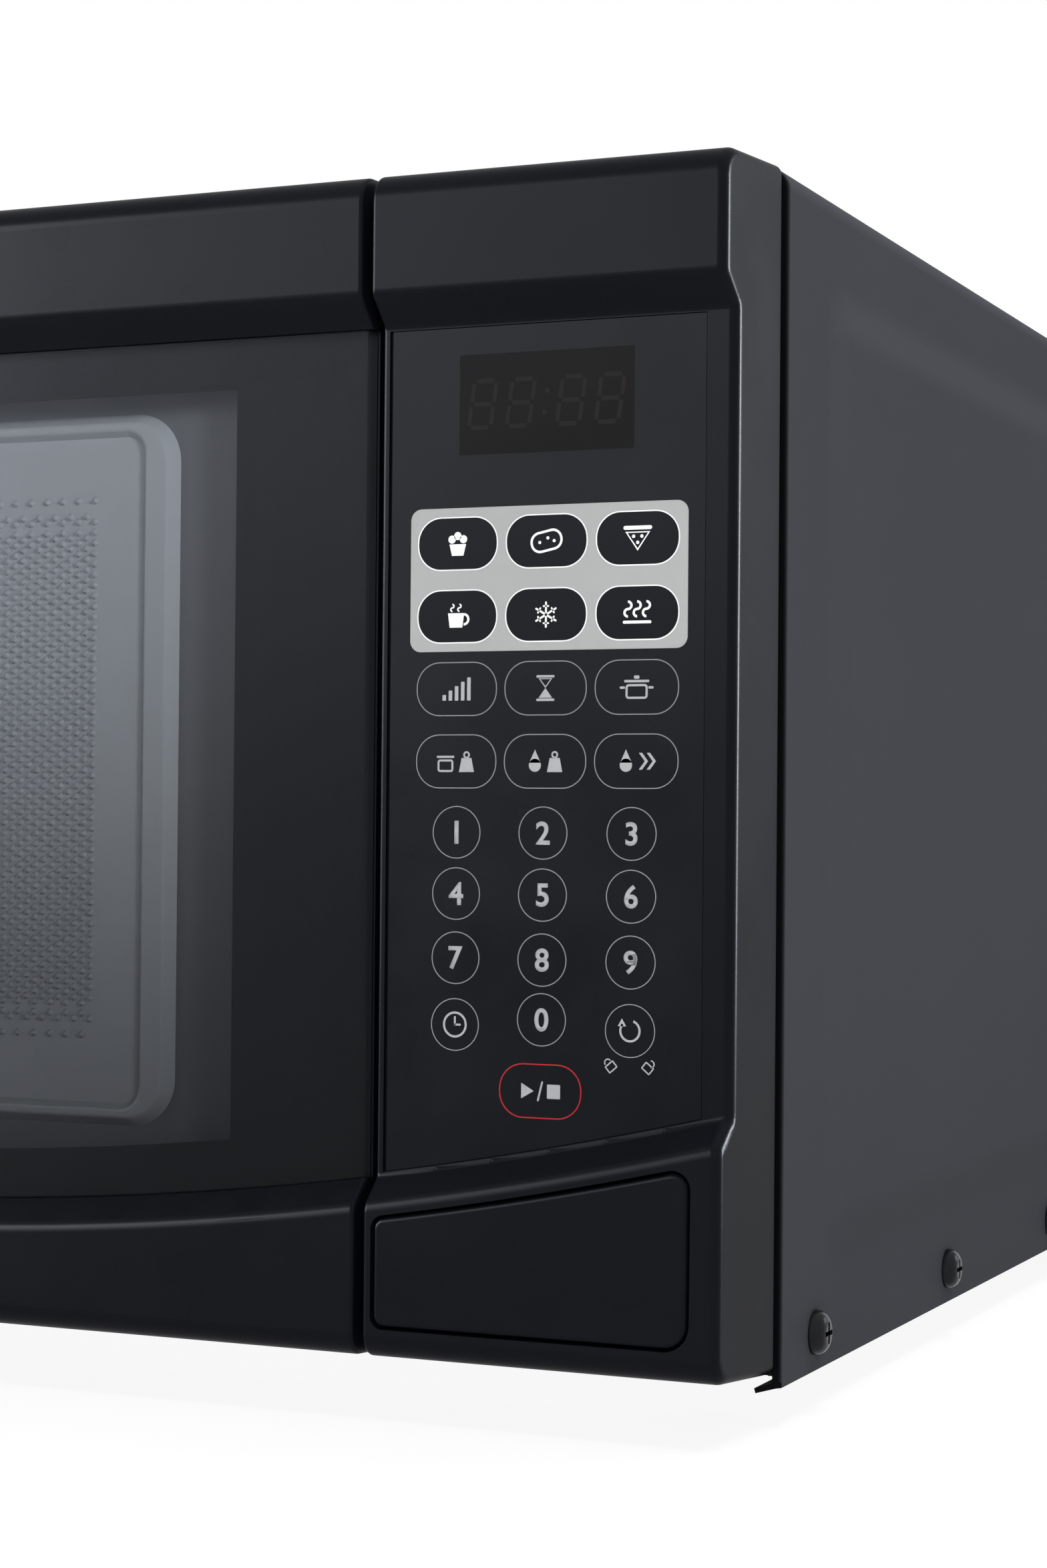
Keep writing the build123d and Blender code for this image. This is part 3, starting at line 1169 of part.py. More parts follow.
def air_guide():
    """A curved plastic duct from the magnetron's fins to the cavity's air inlets."""
    zs = (MAGNETRON_Z - YOKE_HALF_Z, MAGNETRON_Z + YOKE_HALF_Z)
    near, far = -53.0, -84.0

    def plan(inset):
        """The duct's outline seen from above, inset by its wall."""
        right = 184.0 - inset
        front = far + inset
        return make_face(
            [
                Line((LINER_RIGHT, near + 1), (right, near + 1)),
                Line((right, near + 1), (right, near - 6)),
                RadiusArc((right, near - 6), (right - 25 + inset, front), 25 - inset),
                Line((right - 25 + inset, front), (LINER_RIGHT, front)),
                Line((LINER_RIGHT, front), (LINER_RIGHT, near + 1)),
            ]
        )

    duct = Pos(0, 0, zs[0]) * extrude(plan(0.0), amount=zs[1] - zs[0])
    hollow = Pos(0, 0, zs[0] + 1.5) * extrude(plan(1.5), amount=zs[1] - zs[0] - 3.0)
    duct -= hollow
    return duct - block((137.0, 181.0), (near - 3, near + 3), (zs[0] + 3, zs[1] - 3))


def lamp_socket():
    """The lamp bracket on the cavity wall with its ceramic socket."""
    y, z = LAMP_AT
    plate = block((LINER_RIGHT, LINER_RIGHT + SHEET), (y - 14, y + 14), (z - 16, z + 16))
    plate -= rod_x((110.0, 118.0), y, z, 10.0)
    for arm_y in ((y - 14, y - 13), (y + 13, y + 14)):
        plate += block((LINER_RIGHT, 146.0), arm_y, (z - 6, z + 6))
    plate += block((145.0, 146.0), (y - 14, y + 14), (z - 6, z + 6))
    socket = rod_x((141.0, 160.0), y, z, 9.0)
    return plate + socket - rod_x((130.0, 152.0), y, z, 6.0)


def lamp_bulb():
    """A small oven bulb with a screw-shell base."""
    y, z = LAMP_AT
    profile = make_face(
        [
            Line((0, 0), (0, 6.0)),
            Line((0, 6.0), (14.0, 6.0)),
            Spline((14.0, 6.0), (24.0, 8.6), (33.0, 5.5), (36.0, 0.0)),
            Line((36.0, 0), (0, 0)),
        ]
    )
    bulb = revolve(profile, Axis.X)
    return Pos(151.5, y, z) * Rot(0, 0, 180) * bulb


def thermal_cutout():
    """The snap-disc thermostat on the cavity wall, with two blade terminals."""
    cutout = rod_x((LINER_RIGHT, LINER_RIGHT + 7.0), 84.0, 150.0, 8.0)
    cutout += block((LINER_RIGHT, LINER_RIGHT + SHEET), (71.0, 97.0), (145.0, 155.0))
    for z in (146.5, 153.5):
        cutout += block((LINER_RIGHT + 6, LINER_RIGHT + 15), (81.0, 87.0), (z - 0.4, z + 0.4))
    return cutout


def filter_board():
    """The mains filter board on the shroud's pegs, with fuse, choke and capacitor."""
    top = FAN_Z + 52.0 + 4.0
    board = block((FAN_X - 52, FAN_X + 52), (108.0, 158.0), (top, top + 1.6))
    seat = top + 1.4
    board += block((124.0, 148.0), (114.0, 134.0), (seat, seat + 16.0))
    board += rod_z(168.0, 132.0, (seat, seat + 14.0), 12.0)
    board += rod_x((122.0, 144.0), 148.0, seat + 4.0, 2.8)
    board += block((123.0, 126.0), (145.0, 151.0), (seat, seat + 4.0))
    board += block((140.0, 143.0), (145.0, 151.0), (seat, seat + 4.0))
    return board + block((190.0, 212.0), (114.0, 124.0), (seat, seat + 13.0))


def cord_bushing():
    """The moulded gland in the rear panel that the supply lead passes through."""
    x, z = GLAND_AT
    panel = (Y_BACK - 2 * SHEET, Y_BACK - SHEET)
    gland = rod_y(x, (panel[0] - 3.0, panel[0]), z, 8.5)
    gland += rod_y(x, (panel[0] - 0.5, panel[1] + 0.5), z, 6.2)
    flange = rod_y(x, (panel[1], 169.0), z, 9.0)
    flange = fillet(at_depth(flange.edges(), 169.0), 1.5)
    return gland + flange - rod_y(x, (150.0, 180.0), z, GLAND_BORE_R)


# Turntable

def turntable_motor():
    """The flat synchronous motor under the cavity floor, with two fixing ears."""
    body = rod_z(SPIN_X, SPIN_Y, (17.5, FLOOR_UNDER), 24.0)
    body = fillet(body.edges().group_by(Axis.Z)[0], 1.5)
    ears = block((SPIN_X - 34, SPIN_X + 34), (SPIN_Y - 6, SPIN_Y + 6), (FLOOR_UNDER - 1.5, FLOOR_UNDER))
    for side in (-1, 1):
        ears -= rod_z(SPIN_X + side * 29.0, SPIN_Y, (0, 60), 2.0)
    return body + ears - rod_z(SPIN_X, SPIN_Y, (24.0, 40.0), 3.4 + PIN_GAP)


def turntable_coupler():
    """The three-armed drive hub on the motor's spindle."""
    hub = rod_z(SPIN_X, SPIN_Y, (34.0, TRAY_UNDERSIDE), 9.0)
    hub += rod_z(SPIN_X, SPIN_Y, (25.0, 35.0), 3.4)
    for number in range(3):
        arm = block((0, 21.0), (-3.2, 3.2), (41.0, TRAY_UNDERSIDE))
        arm = fillet(arm.edges().filter_by(Axis.Z).group_by(Axis.X)[-1], 3.0)
        hub += Pos(SPIN_X, SPIN_Y, 0) * Rot(0, 0, 120.0 * number) * arm
    return hub


def glass_tray():
    """The glass turntable: a flat plate with a raised rim and drive lugs underneath."""
    low, top = TRAY_UNDERSIDE, TRAY_UNDERSIDE + 4.5
    section = make_face(
        Polyline(
            (0, low),
            (110.0, low),
            (123.0, low + 9.0),
            (TRAY_R, low + 11.0),
            (TRAY_R, low + 14.0),
            (122.0, low + 13.0),
            (108.5, top),
            (0, top),
            close=True,
        )
    )
    bends = section.vertices().filter_by(lambda v: v.X > 1.0)
    section = fillet(bends.filter_by(lambda v: v.X < TRAY_R - 1), 4.0)
    tray = revolve(Plane.XZ * section, Axis.Z)
    for number in range(3):
        lug = rod_z(15.5, 0, (low - 5.0, low + 0.5), 3.0)
        tray += Rot(0, 0, 120.0 * number + 26.0) * lug
    return Pos(SPIN_X, SPIN_Y, 0) * tray


def roller_ring():
    """The ring under the tray, with three axles for its rollers."""
    ring = rod_z(0, 0, (ROLLER_Z - 3.2, ROLLER_Z + 3.2), 88.0)
    ring -= rod_z(0, 0, (0, 80), 81.0)
    for number in range(ROLLER_COUNT):
        half = ROLLER_WIDE / 2
        axle = rod_x((86.0, ROLLER_TRACK_R + half + 2.0), 0, ROLLER_Z, AXLE_R)
        axle += rod_x((87.0, ROLLER_TRACK_R - half - 0.4), 0, ROLLER_Z, 3.2)
        axle += rod_x((ROLLER_TRACK_R + half + 0.4, ROLLER_TRACK_R + half + 2.4), 0, ROLLER_Z, 3.0)
        ring += Rot(0, 0, roller_angle(number)) * axle
    return Pos(SPIN_X, SPIN_Y, 0) * ring


def roller_angle(number):
    """Bearing of a roller round the ring."""
    return 30.0 + number * 360.0 / ROLLER_COUNT


def roller(number):
    """One grooved wheel that the tray runs on."""
    half = ROLLER_WIDE / 2
    limits = (ROLLER_TRACK_R - half, ROLLER_TRACK_R + half)
    wheel = rod_x(limits, 0, ROLLER_Z, ROLLER_R)
    wheel = fillet(wheel.edges().filter_by(GeomType.CIRCLE), 1.0)
    wheel -= rod_x((limits[0] - 1, limits[1] + 1), 0, ROLLER_Z, AXLE_R + PIN_GAP)
    return Pos(SPIN_X, SPIN_Y, 0) * Rot(0, 0, roller_angle(number)) * wheel


def all_parts():
    """Every piece of the oven by its node name."""
    parts = {
        "outer_cabinet": outer_cabinet(),
        "base_plate": base_plate(),
        "rear_panel": rear_panel(),
        "front_plate": front_plate(),
        "cavity_liner": cavity_liner(),
        "feet": feet(),
        "cabinet_screws": cabinet_screws(),
        "upper_hinge_bracket": hinge_bracket(*HINGE_LEVELS[1]),
        "lower_hinge_bracket": hinge_bracket(*HINGE_LEVELS[0]),
        "door_frame": door_frame(),
        "door_glass": door_glass(),
        "door_screen": door_screen(),
        "door_inner_film": door_inner_film(),
        "door_choke": door_choke(),
        "choke_cover": choke_cover(),
        "hinge_pins": hinge_pins(),
        "latch_hook": latch_hook(),
        "latch_spring": latch_spring(),
        "release_button": release_button(),
        "button_spring": button_spring(),
        "release_lever": release_lever(),
        "interlock_bracket": interlock_bracket(),
        "microswitches": microswitches(),
        "primary_plunger": rear_plunger(HOOK_ARM_Z[1]),
        "secondary_plunger": rear_plunger(HOOK_ARM_Z[0]),
        "monitor_plunger": monitor_plunger(),
        "control_fascia": control_fascia(),
        "keypad_overlay": keypad_overlay(),
        "display_module": display_module(),
        "control_board": control_board(),
        "waveguide": waveguide(),
        "waveguide_cover": waveguide_cover(),
        "magnetron_yoke": magnetron_yoke(),
        "magnetron_anode": magnetron_anode(),
        "magnetron_magnets": magnetron_magnets(),
        "magnetron_fins": magnetron_fins(),
        "magnetron_filter_box": magnetron_filter_box(),
        "transformer_core": transformer_core(),
        "transformer_windings": transformer_windings(),
        "hv_capacitor": hv_capacitor(),
        "capacitor_clamp": capacitor_clamp(),
        "hv_diode": hv_diode(),
        "fan_shroud": fan_shroud(),
        "fan_motor": fan_motor(),
        "fan_shaft": fan_shaft(),
        "fan_blade": fan_blade(),
        "air_guide": air_guide(),
        "lamp_socket": lamp_socket(),
        "lamp_bulb": lamp_bulb(),
        "thermal_cutout": thermal_cutout(),
        "filter_board": filter_board(),
        "cord_bushing": cord_bushing(),
        "turntable_motor": turntable_motor(),
        "turntable_coupler": turntable_coupler(),
        "glass_tray": glass_tray(),
        "roller_ring": roller_ring(),
    }
    for number in range(ROLLER_COUNT):
        parts[f"roller_{number + 1}"] = roller(number)
    return parts


def main():
    """Write one STEP file for each piece."""
    os.makedirs("parts", exist_ok=True)
    for name, shape in all_parts().items():
        export_step(shape, f"parts/{name}.step")


if __name__ == "__main__":
    main()
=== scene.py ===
"""Looks of a compact countertop microwave oven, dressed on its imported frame.

The cabinet, the door, the control panel and the mechanism come from the frame. This script
adds the print on the key sheet and on the door glass, skins over the creases of the front, the
perforated field of the door panel and the coil springs. It gives every part its finish, and
sets the camera, the floor and the light.
"""

from __future__ import annotations

import logging
import math
from dataclasses import dataclass, field, replace
from enum import Enum
from typing import Any, ClassVar, Iterable, Sequence

import bmesh
import bpy
from mathutils import Matrix, Vector

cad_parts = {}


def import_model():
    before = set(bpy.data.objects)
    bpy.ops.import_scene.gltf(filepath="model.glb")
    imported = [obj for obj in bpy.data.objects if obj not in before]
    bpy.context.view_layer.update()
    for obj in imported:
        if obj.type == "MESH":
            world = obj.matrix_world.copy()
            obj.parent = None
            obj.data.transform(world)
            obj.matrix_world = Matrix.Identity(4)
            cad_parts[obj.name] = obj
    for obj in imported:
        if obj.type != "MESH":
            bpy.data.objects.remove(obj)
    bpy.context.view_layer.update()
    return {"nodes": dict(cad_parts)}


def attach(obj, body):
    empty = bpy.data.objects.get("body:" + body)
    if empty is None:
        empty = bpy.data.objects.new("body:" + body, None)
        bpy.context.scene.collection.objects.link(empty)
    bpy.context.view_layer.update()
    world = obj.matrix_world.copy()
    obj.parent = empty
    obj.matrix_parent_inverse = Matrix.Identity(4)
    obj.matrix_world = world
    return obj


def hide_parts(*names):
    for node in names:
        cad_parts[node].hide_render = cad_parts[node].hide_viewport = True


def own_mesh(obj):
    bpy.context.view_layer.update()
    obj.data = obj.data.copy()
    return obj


LOG = logging.getLogger("oven")
MM = 0.001

BMesh = bmesh.types.BMesh
Point = tuple[float, float]
Place = tuple[float, float, float]
Colour = tuple[float, float, float]
# A fade paints shade: an axis, two places on it and the share of the colour at the first.
PaintedShadeFade = tuple[str, float, float, float]


class Grain(Enum):
    """What a finish shows close up."""

    MOULDED = "fine even spark-eroded grain of moulded plastic"
    PAINTED = "soft orange peel of stoved paint"
    BRUSHED = "rolling lines of sheet metal"
    LAYERED = "edges of stacked sheets or wound wire"
    SMOOTH = "polished, with a faint waviness"


EVEN: Place = (1.0, 1.0, 1.0)
STRETCH: dict[Grain, Place] = {
    Grain.BRUSHED: (0.02, 1.0, 1.0),
    Grain.LAYERED: (0.01, 1.0, 0.01),
}
NOISE_BAND: Point = (0.3, 0.7)
WEAR_PATCH = 0.4
WHITE = (1.0, 1.0, 1.0, 1.0)


def feed(tree: Any, node: Any, inputs: dict[Any, Any]) -> None:
    """Set or link some inputs of a shader node.

    Args:
        tree: The node tree.
        node: The node.
        inputs: A value or a socket for each input, by its name or number.
    """
    for name, value in inputs.items():
        if isinstance(value, bpy.types.NodeSocket):
            tree.links.new(value, node.inputs[name])
        else:
            node.inputs[name].default_value = value


def add_node(tree: Any, kind: str, inputs: dict[Any, Any], **traits: Any) -> Any:
    """Add a shader node.

    Args:
        tree: The node tree.
        kind: The type of the node.
        inputs: A value or a socket for each input, by its name or number.
        traits: Settings of the node, such as its operation.

    Returns:
        The new node.
    """
    made = tree.nodes.new(kind)
    for name, value in traits.items():
        setattr(made, name, value)
    feed(tree, made, inputs)
    return made


def map_range(tree: Any, value: Any, before: Point, after: Point, ease: str = "LINEAR") -> Any:
    """Map a value from one span to another.

    Args:
        tree: The node tree.
        value: The value's socket.
        before: The span that it has.
        after: The span that it gets.
        ease: How it runs between the ends.

    Returns:
        The socket of the mapped value.
    """
    inputs = {
        "Value": value,
        "From Min": before[0],
        "From Max": before[1],
        "To Min": after[0],
        "To Max": after[1],
    }
    return add_node(tree, "ShaderNodeMapRange", inputs, interpolation_type=ease).outputs["Result"]


@dataclass(frozen=True)
class Finish:
    """A surface: its colour, its gloss and the grain that breaks them up.

    Lengths are in millimetres. relief is the depth of the grain, mottle the share by which the
    colour drifts over patches of the size of patch, wear the spread of the roughness, tint the
    colour of the gloss and coat_ior the strength of a coat's gloss. Each fade names an axis and
    two places on it, between which the colour rises from a share to the full colour: painted
    shade that darkens one end.
    """

    name: str
    colour: Colour
    roughness: float
    metallic: float = 0.0
    specular: float = 0.5
    coat: float = 0.0
    coat_ior: float = 1.25
    alpha: float = 1.0
    grain: Grain = Grain.MOULDED
    grain_size: float = 0.5
    relief: float = 0.01
    mottle: float = 0.08
    patch: float = 60.0
    wear: float = 0.06
    tint: Colour = (1.0, 1.0, 1.0)
    painted_shade_fades: tuple[PaintedShadeFade, ...] = ()

    def material(self) -> bpy.types.Material:
        """Build the finish once and hand it out again on later calls.

        Returns:
            The node material of this finish.
        """
        title = f"{self.name}_finish"
        known = bpy.data.materials.get(title)
        if known is not None:
            return known
        made = bpy.data.materials.new(title)
        made.use_nodes = True
        tree = made.node_tree
        place = tree.nodes.new("ShaderNodeTexCoord").outputs["Object"]
        gloss = self._gloss(tree, place)
        bumps = self._bumps(tree, place)
        inputs = {
            "Base Color": self._shades(tree, place),
            "Metallic": self.metallic,
            "Roughness": gloss,
            "Normal": bumps,
            "Alpha": self.alpha,
            "Specular IOR Level": self.specular,
            "Specular Tint": (*self.tint, 1.0),
            "Coat Weight": self.coat,
            "Coat IOR": self.coat_ior,
            "Coat Roughness": gloss,
            "Coat Normal": bumps,
        }
        feed(tree, tree.nodes["Principled BSDF"], inputs)
        return made

    def _shade(self, share: float) -> tuple[float, float, float, float]:
        """The finish's colour made lighter or darker by a share."""
        return tuple(min(1.0, c * (1.0 + share)) for c in self.colour) + (1.0,)

    def _noise(self, tree: Any, place: Any, size: float, detail: float) -> Any:
        """Add a noise whose features are about size millimetres wide.

        Args:
            tree: The material's node tree.
            place: The coordinate socket.
            size: Width of a feature in millimetres.
            detail: Octaves of the noise.

        Returns:
            The noise's value socket.
        """
        inputs = {"Vector": place, "Scale": 1.0 / (size * MM), "Detail": detail}
        return add_node(tree, "ShaderNodeTexNoise", inputs).outputs["Fac"]

    def _shades(self, tree: Any, place: Any) -> Any:
        """A socket whose colour drifts between two close shades, darkened where the finish paints
        shade.
        """
        noise = self._noise(tree, place, self.patch, detail=3.0)
        ramp = add_node(tree, "ShaderNodeValToRGB", {"Fac": noise})
        drift = (-self.mottle, self.mottle)
        for stop, position, share in zip(ramp.color_ramp.elements, NOISE_BAND, drift):
            stop.position = position
            stop.color = self._shade(share)
        shade = ramp.outputs["Color"]
        # Painted shade: scale the colour down towards one end of an axis.
        for axis, low, high, share in self.painted_shade_fades:
            split = add_node(tree, "ShaderNodeSeparateXYZ", {"Vector": place})
            span = (low * MM, high * MM)
            part = map_range(tree, split.outputs[axis], span, (share, 1.0), "SMOOTHSTEP")
            inputs = {0: shade, "Scale": part}
            painted_shade = add_node(tree, "ShaderNodeVectorMath", inputs, operation="SCALE")
            shade = painted_shade.outputs["Vector"]
        return shade

    def _gloss(self, tree: Any, place: Any) -> Any:
        """A socket whose roughness drifts, as handling and wiping leave it."""
        noise = self._noise(tree, place, self.patch * WEAR_PATCH, detail=4.0)
        span = (max(0.0, self.roughness - self.wear), min(1.0, self.roughness + self.wear))
        return map_range(tree, noise, NOISE_BAND, span)

    def _bumps(self, tree: Any, place: Any) -> Any:
        """A socket of normals that raise the grain of the surface."""
        stretch = {"Vector": place, "Scale": STRETCH.get(self.grain, EVEN)}
        turn = add_node(tree, "ShaderNodeMapping", stretch)
        height = self._noise(tree, turn.outputs["Vector"], self.grain_size, detail=2.0)
        inputs = {"Height": height, "Strength": 1.0, "Distance": self.relief * MM}
        return add_node(tree, "ShaderNodeBump", inputs).outputs["Normal"]


COOL: Colour = (0.86, 0.91, 1.0)
SKY: Colour = (0.60, 0.78, 1.0)

BLACK_MOULDING = Finish(
    "black_moulding", (0.0034, 0.0037, 0.0058), 0.28, specular=0.0, coat=0.4, grain_size=0.7,
    relief=0.0005, wear=0.03,
)
# The paint's fades are painted shade: the side darkens towards the bottom, and the front face of
# the hem in the seam turns near black.
CABINET_PAINT = Finish(
    "cabinet_paint", (0.053, 0.055, 0.064), 0.38, specular=0.0, coat=0.06, coat_ior=1.4,
    grain=Grain.PAINTED, grain_size=1.4, relief=0.0025, mottle=0.025, patch=150.0, wear=0.02,
    painted_shade_fades=(("Z", 20.0, 120.0, 0.9), ("Y", -140.1, -139.2, 0.03)),
)
KEY_SHEET = Finish(
    "key_sheet", (0.0038, 0.0042, 0.0060), 0.28, specular=0.0, coat=0.45, grain=Grain.SMOOTH,
    grain_size=6.0, relief=0.0006, mottle=0.05,
)
SMOKED_GLASS = Finish(
    "smoked_glass", (0.004, 0.0042, 0.005), 0.24, specular=0.18, tint=COOL, alpha=0.24,
    grain=Grain.SMOOTH, grain_size=40.0, relief=0.004, mottle=0.05, wear=0.02,
)
# Its fade is painted shade: the panel darkens towards the bottom.
SCREEN_PAINT = Finish(
    "screen_paint", (0.285, 0.31, 0.34), 0.5, specular=0.1, grain=Grain.PAINTED, grain_size=1.2,
    relief=0.003, mottle=0.03, painted_shade_fades=(("Z", 50.0, 205.0, 0.28),),
)
# A darker copy of the panel paint: painted shade on the flat outside the ridge, inside the
# window's frame.
SCREEN_PAINTED_SHADE = replace(SCREEN_PAINT, name="screen_painted_shade", colour=(0.085, 0.091, 0.100))
CLEAR_FILM = Finish(
    "clear_film", (0.6, 0.62, 0.64), 0.12, alpha=0.08, grain=Grain.SMOOTH, grain_size=30.0,
    relief=0.004,
)
CAVITY_ENAMEL = Finish(
    "cavity_enamel", (0.50, 0.50, 0.485), 0.38, grain=Grain.PAINTED, grain_size=1.6, relief=0.004,
    mottle=0.07,
)
FRONT_ENAMEL = Finish(
    "front_enamel", (0.006, 0.0064, 0.0075), 0.36, specular=0.06, grain=Grain.PAINTED,
    grain_size=1.6, relief=0.004,
)
ZINC_STEEL = Finish(
    "zinc_steel", (0.53, 0.54, 0.55), 0.42, metallic=1.0, grain=Grain.BRUSHED, grain_size=0.6,
    relief=0.0015, mottle=0.05, patch=40.0, wear=0.04,
)
SCREW_STEEL = Finish(
    "screw_steel", (0.007, 0.0074, 0.009), 0.2, specular=0.12, grain=Grain.PAINTED, relief=0.001,
    mottle=0.2, patch=5.0, wear=0.03,
)
PIN_STEEL = Finish(
    "pin_steel", (0.62, 0.62, 0.63), 0.2, metallic=1.0, grain=Grain.BRUSHED, grain_size=0.3,
    relief=0.001,
)
SPRING_WIRE = replace(PIN_STEEL, name="spring_wire", colour=(0.4, 0.4, 0.41), roughness=0.3)
BLACK_PLASTIC = Finish("black_plastic", (0.02, 0.02, 0.022), 0.42, relief=0.004)
WHITE_PLASTIC = Finish("white_plastic", (0.72, 0.72, 0.69), 0.4, relief=0.003)
GREY_PLASTIC = Finish("grey_plastic", (0.32, 0.33, 0.34), 0.45, relief=0.004)
DISPLAY_LENS = Finish(
    "display_lens", (0.0040, 0.0032, 0.0030), 0.2, specular=0.0, coat=0.25, grain=Grain.SMOOTH,
    grain_size=8.0, relief=0.0006,
)
CIRCUIT_BOARD = Finish(
    "circuit_board", (0.33, 0.22, 0.085), 0.5, grain=Grain.PAINTED, grain_size=0.8, relief=0.006,
    mottle=0.16, patch=9.0,
)
CORE_STEEL = Finish(
    "core_steel", (0.16, 0.16, 0.17), 0.45, metallic=0.8, grain=Grain.LAYERED, grain_size=0.6,
    relief=0.06, mottle=0.2, patch=12.0,
)
WINDING_WIRE = Finish(
    "winding_wire", (0.42, 0.15, 0.055), 0.32, metallic=0.6, grain=Grain.LAYERED, grain_size=0.9,
    relief=0.12, mottle=0.2, patch=6.0,
)
FIN_METAL = Finish(
    "fin_metal", (0.76, 0.77, 0.78), 0.3, metallic=1.0, grain=Grain.BRUSHED, relief=0.002
)
BARE_COPPER = replace(
    FIN_METAL, name="bare_copper", colour=(0.72, 0.36, 0.2), mottle=0.16, patch=10.0
)
FERRITE = Finish("ferrite", (0.06, 0.06, 0.064), 0.55, grain_size=0.4, relief=0.012, mottle=0.2)
MICA = Finish(
    "mica", (0.5, 0.43, 0.32), 0.35, grain=Grain.PAINTED, grain_size=3.0, mottle=0.3, patch=6.0
)
TRAY_GLASS = Finish(
    "tray_glass", (0.78, 0.83, 0.82), 0.06, alpha=0.32, grain=Grain.SMOOTH, grain_size=20.0,
    relief=0.006, wear=0.02,
)
BULB_GLASS = replace(
    TRAY_GLASS, name="bulb_glass", colour=(0.9, 0.86, 0.74), alpha=0.45, grain_size=8.0,
    relief=0.003,
)
FOOT_RUBBER = Finish("foot_rubber", (0.02, 0.02, 0.021), 0.65, grain_size=0.7, relief=0.02)
PANEL_INK = Finish(
    "panel_ink", (0.36, 0.36, 0.36), 0.4, specular=0.12, grain_size=0.3, relief=0.001, mottle=0.03
)
WHITE_INK = replace(PANEL_INK, name="white_ink", colour=(0.80, 0.80, 0.80), mottle=0.02)
GREY_INK = replace(PANEL_INK, name="grey_ink", colour=(0.36, 0.36, 0.37))
THIN_INK = replace(PANEL_INK, name="thin_ink", colour=(0.22, 0.22, 0.23))
RED_INK = replace(PANEL_INK, name="red_ink", colour=(0.40, 0.011, 0.020), mottle=0.04)
KEY_INK = Finish(
    "key_ink", (0.0036, 0.0040, 0.0056), 0.28, specular=0.0, coat=0.35, grain_size=0.4,
    relief=0.0006,
)
SEGMENT_INK = replace(
    KEY_INK, name="segment_ink", colour=(0.0125, 0.0106, 0.0096), roughness=0.3, coat=0.25
)
MARGIN_INK = Finish(
    "margin_ink", (0.0016, 0.0017, 0.0022), 0.5, specular=0.05, grain_size=0.4, relief=0.0006
)

NODE_FINISHES: dict[Finish, tuple[str, ...]] = {
    BLACK_MOULDING: ("door_frame", "control_fascia", "release_button"),
    CABINET_PAINT: ("outer_cabinet",),
    FRONT_ENAMEL: ("front_plate", "upper_hinge_bracket", "lower_hinge_bracket"),
    KEY_SHEET: ("keypad_overlay",),
    SMOKED_GLASS: ("door_glass",),
    SCREEN_PAINT: ("door_screen",),
    CLEAR_FILM: ("door_inner_film",),
    CAVITY_ENAMEL: ("cavity_liner",),
    ZINC_STEEL: (
        "base_plate", "rear_panel", "waveguide", "magnetron_yoke", "magnetron_filter_box",
        "capacitor_clamp", "lamp_socket", "turntable_motor", "door_choke",
    ),
    SCREW_STEEL: ("cabinet_screws",),
    PIN_STEEL: ("hinge_pins",),
    BLACK_PLASTIC: ("choke_cover", "microswitches", "hv_diode", "thermal_cutout", "cord_bushing"),
    WHITE_PLASTIC: (
        "latch_hook", "release_lever", "primary_plunger", "secondary_plunger", "monitor_plunger",
        "turntable_coupler", "roller_1", "roller_2", "roller_3",
    ),
    GREY_PLASTIC: ("interlock_bracket", "fan_shroud", "air_guide", "fan_blade", "roller_ring"),
    DISPLAY_LENS: ("display_module",),
    CIRCUIT_BOARD: ("control_board", "filter_board"),
    CORE_STEEL: ("transformer_core", "fan_motor", "fan_shaft"),
    WINDING_WIRE: ("transformer_windings",),
    BARE_COPPER: ("magnetron_anode",),
    FIN_METAL: ("magnetron_fins", "hv_capacitor"),
    FERRITE: ("magnetron_magnets",),
    MICA: ("waveguide_cover",),
    TRAY_GLASS: ("glass_tray",),
    BULB_GLASS: ("lamp_bulb",),
    FOOT_RUBBER: ("feet",),
    SPRING_WIRE: ("latch_spring", "button_spring"),
}


def dress(piece: bpy.types.Object, finish: Finish) -> None:
    """Give an object one finish all over.

    Args:
        piece: The object to dress.
        finish: The finish that it gets.
    """
    piece.data.materials.clear()
    piece.data.materials.append(finish.material())


def piece_from(bm: BMesh, name: str, finish: Finish, body: str) -> bpy.types.Object:
    """Turn a finished bmesh into a dressed piece that rides on a body.

    Args:
        bm: The mesh in metres, in the oven's frame. It is freed.
        name: The piece's name.
        finish: Its finish.
        body: The body that carries it.

    Returns:
        The new object.
    """
    mesh = bpy.data.meshes.new(name)
    bm.to_mesh(mesh)
    bm.free()
    made = bpy.data.objects.new(name, mesh)
    bpy.context.scene.collection.objects.link(made)
    dress(made, finish)
    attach(made, body)
    LOG.info("%s rides on %s with %d faces", name, body, len(mesh.polygons))
    return made


def pour(source: BMesh, target: BMesh) -> None:
    """Add one bmesh to another.

    Args:
        source: The mesh to add. It is freed.
        target: The mesh that gets it.
    """
    carrier = bpy.data.meshes.new("carrier")
    source.to_mesh(carrier)
    source.free()
    target.from_mesh(carrier)
    bpy.data.meshes.remove(carrier)


def thicken(bm: BMesh, vec: Place) -> None:
    """Push the faces of a flat mesh along a vector, to give it a thickness."""
    raised = bmesh.ops.extrude_face_region(bm, geom=bm.faces[:])
    tops = [g for g in raised["geom"] if isinstance(g, bmesh.types.BMVert)]
    bmesh.ops.translate(bm, vec=vec, verts=tops)
    bmesh.ops.recalc_face_normals(bm, faces=bm.faces[:])


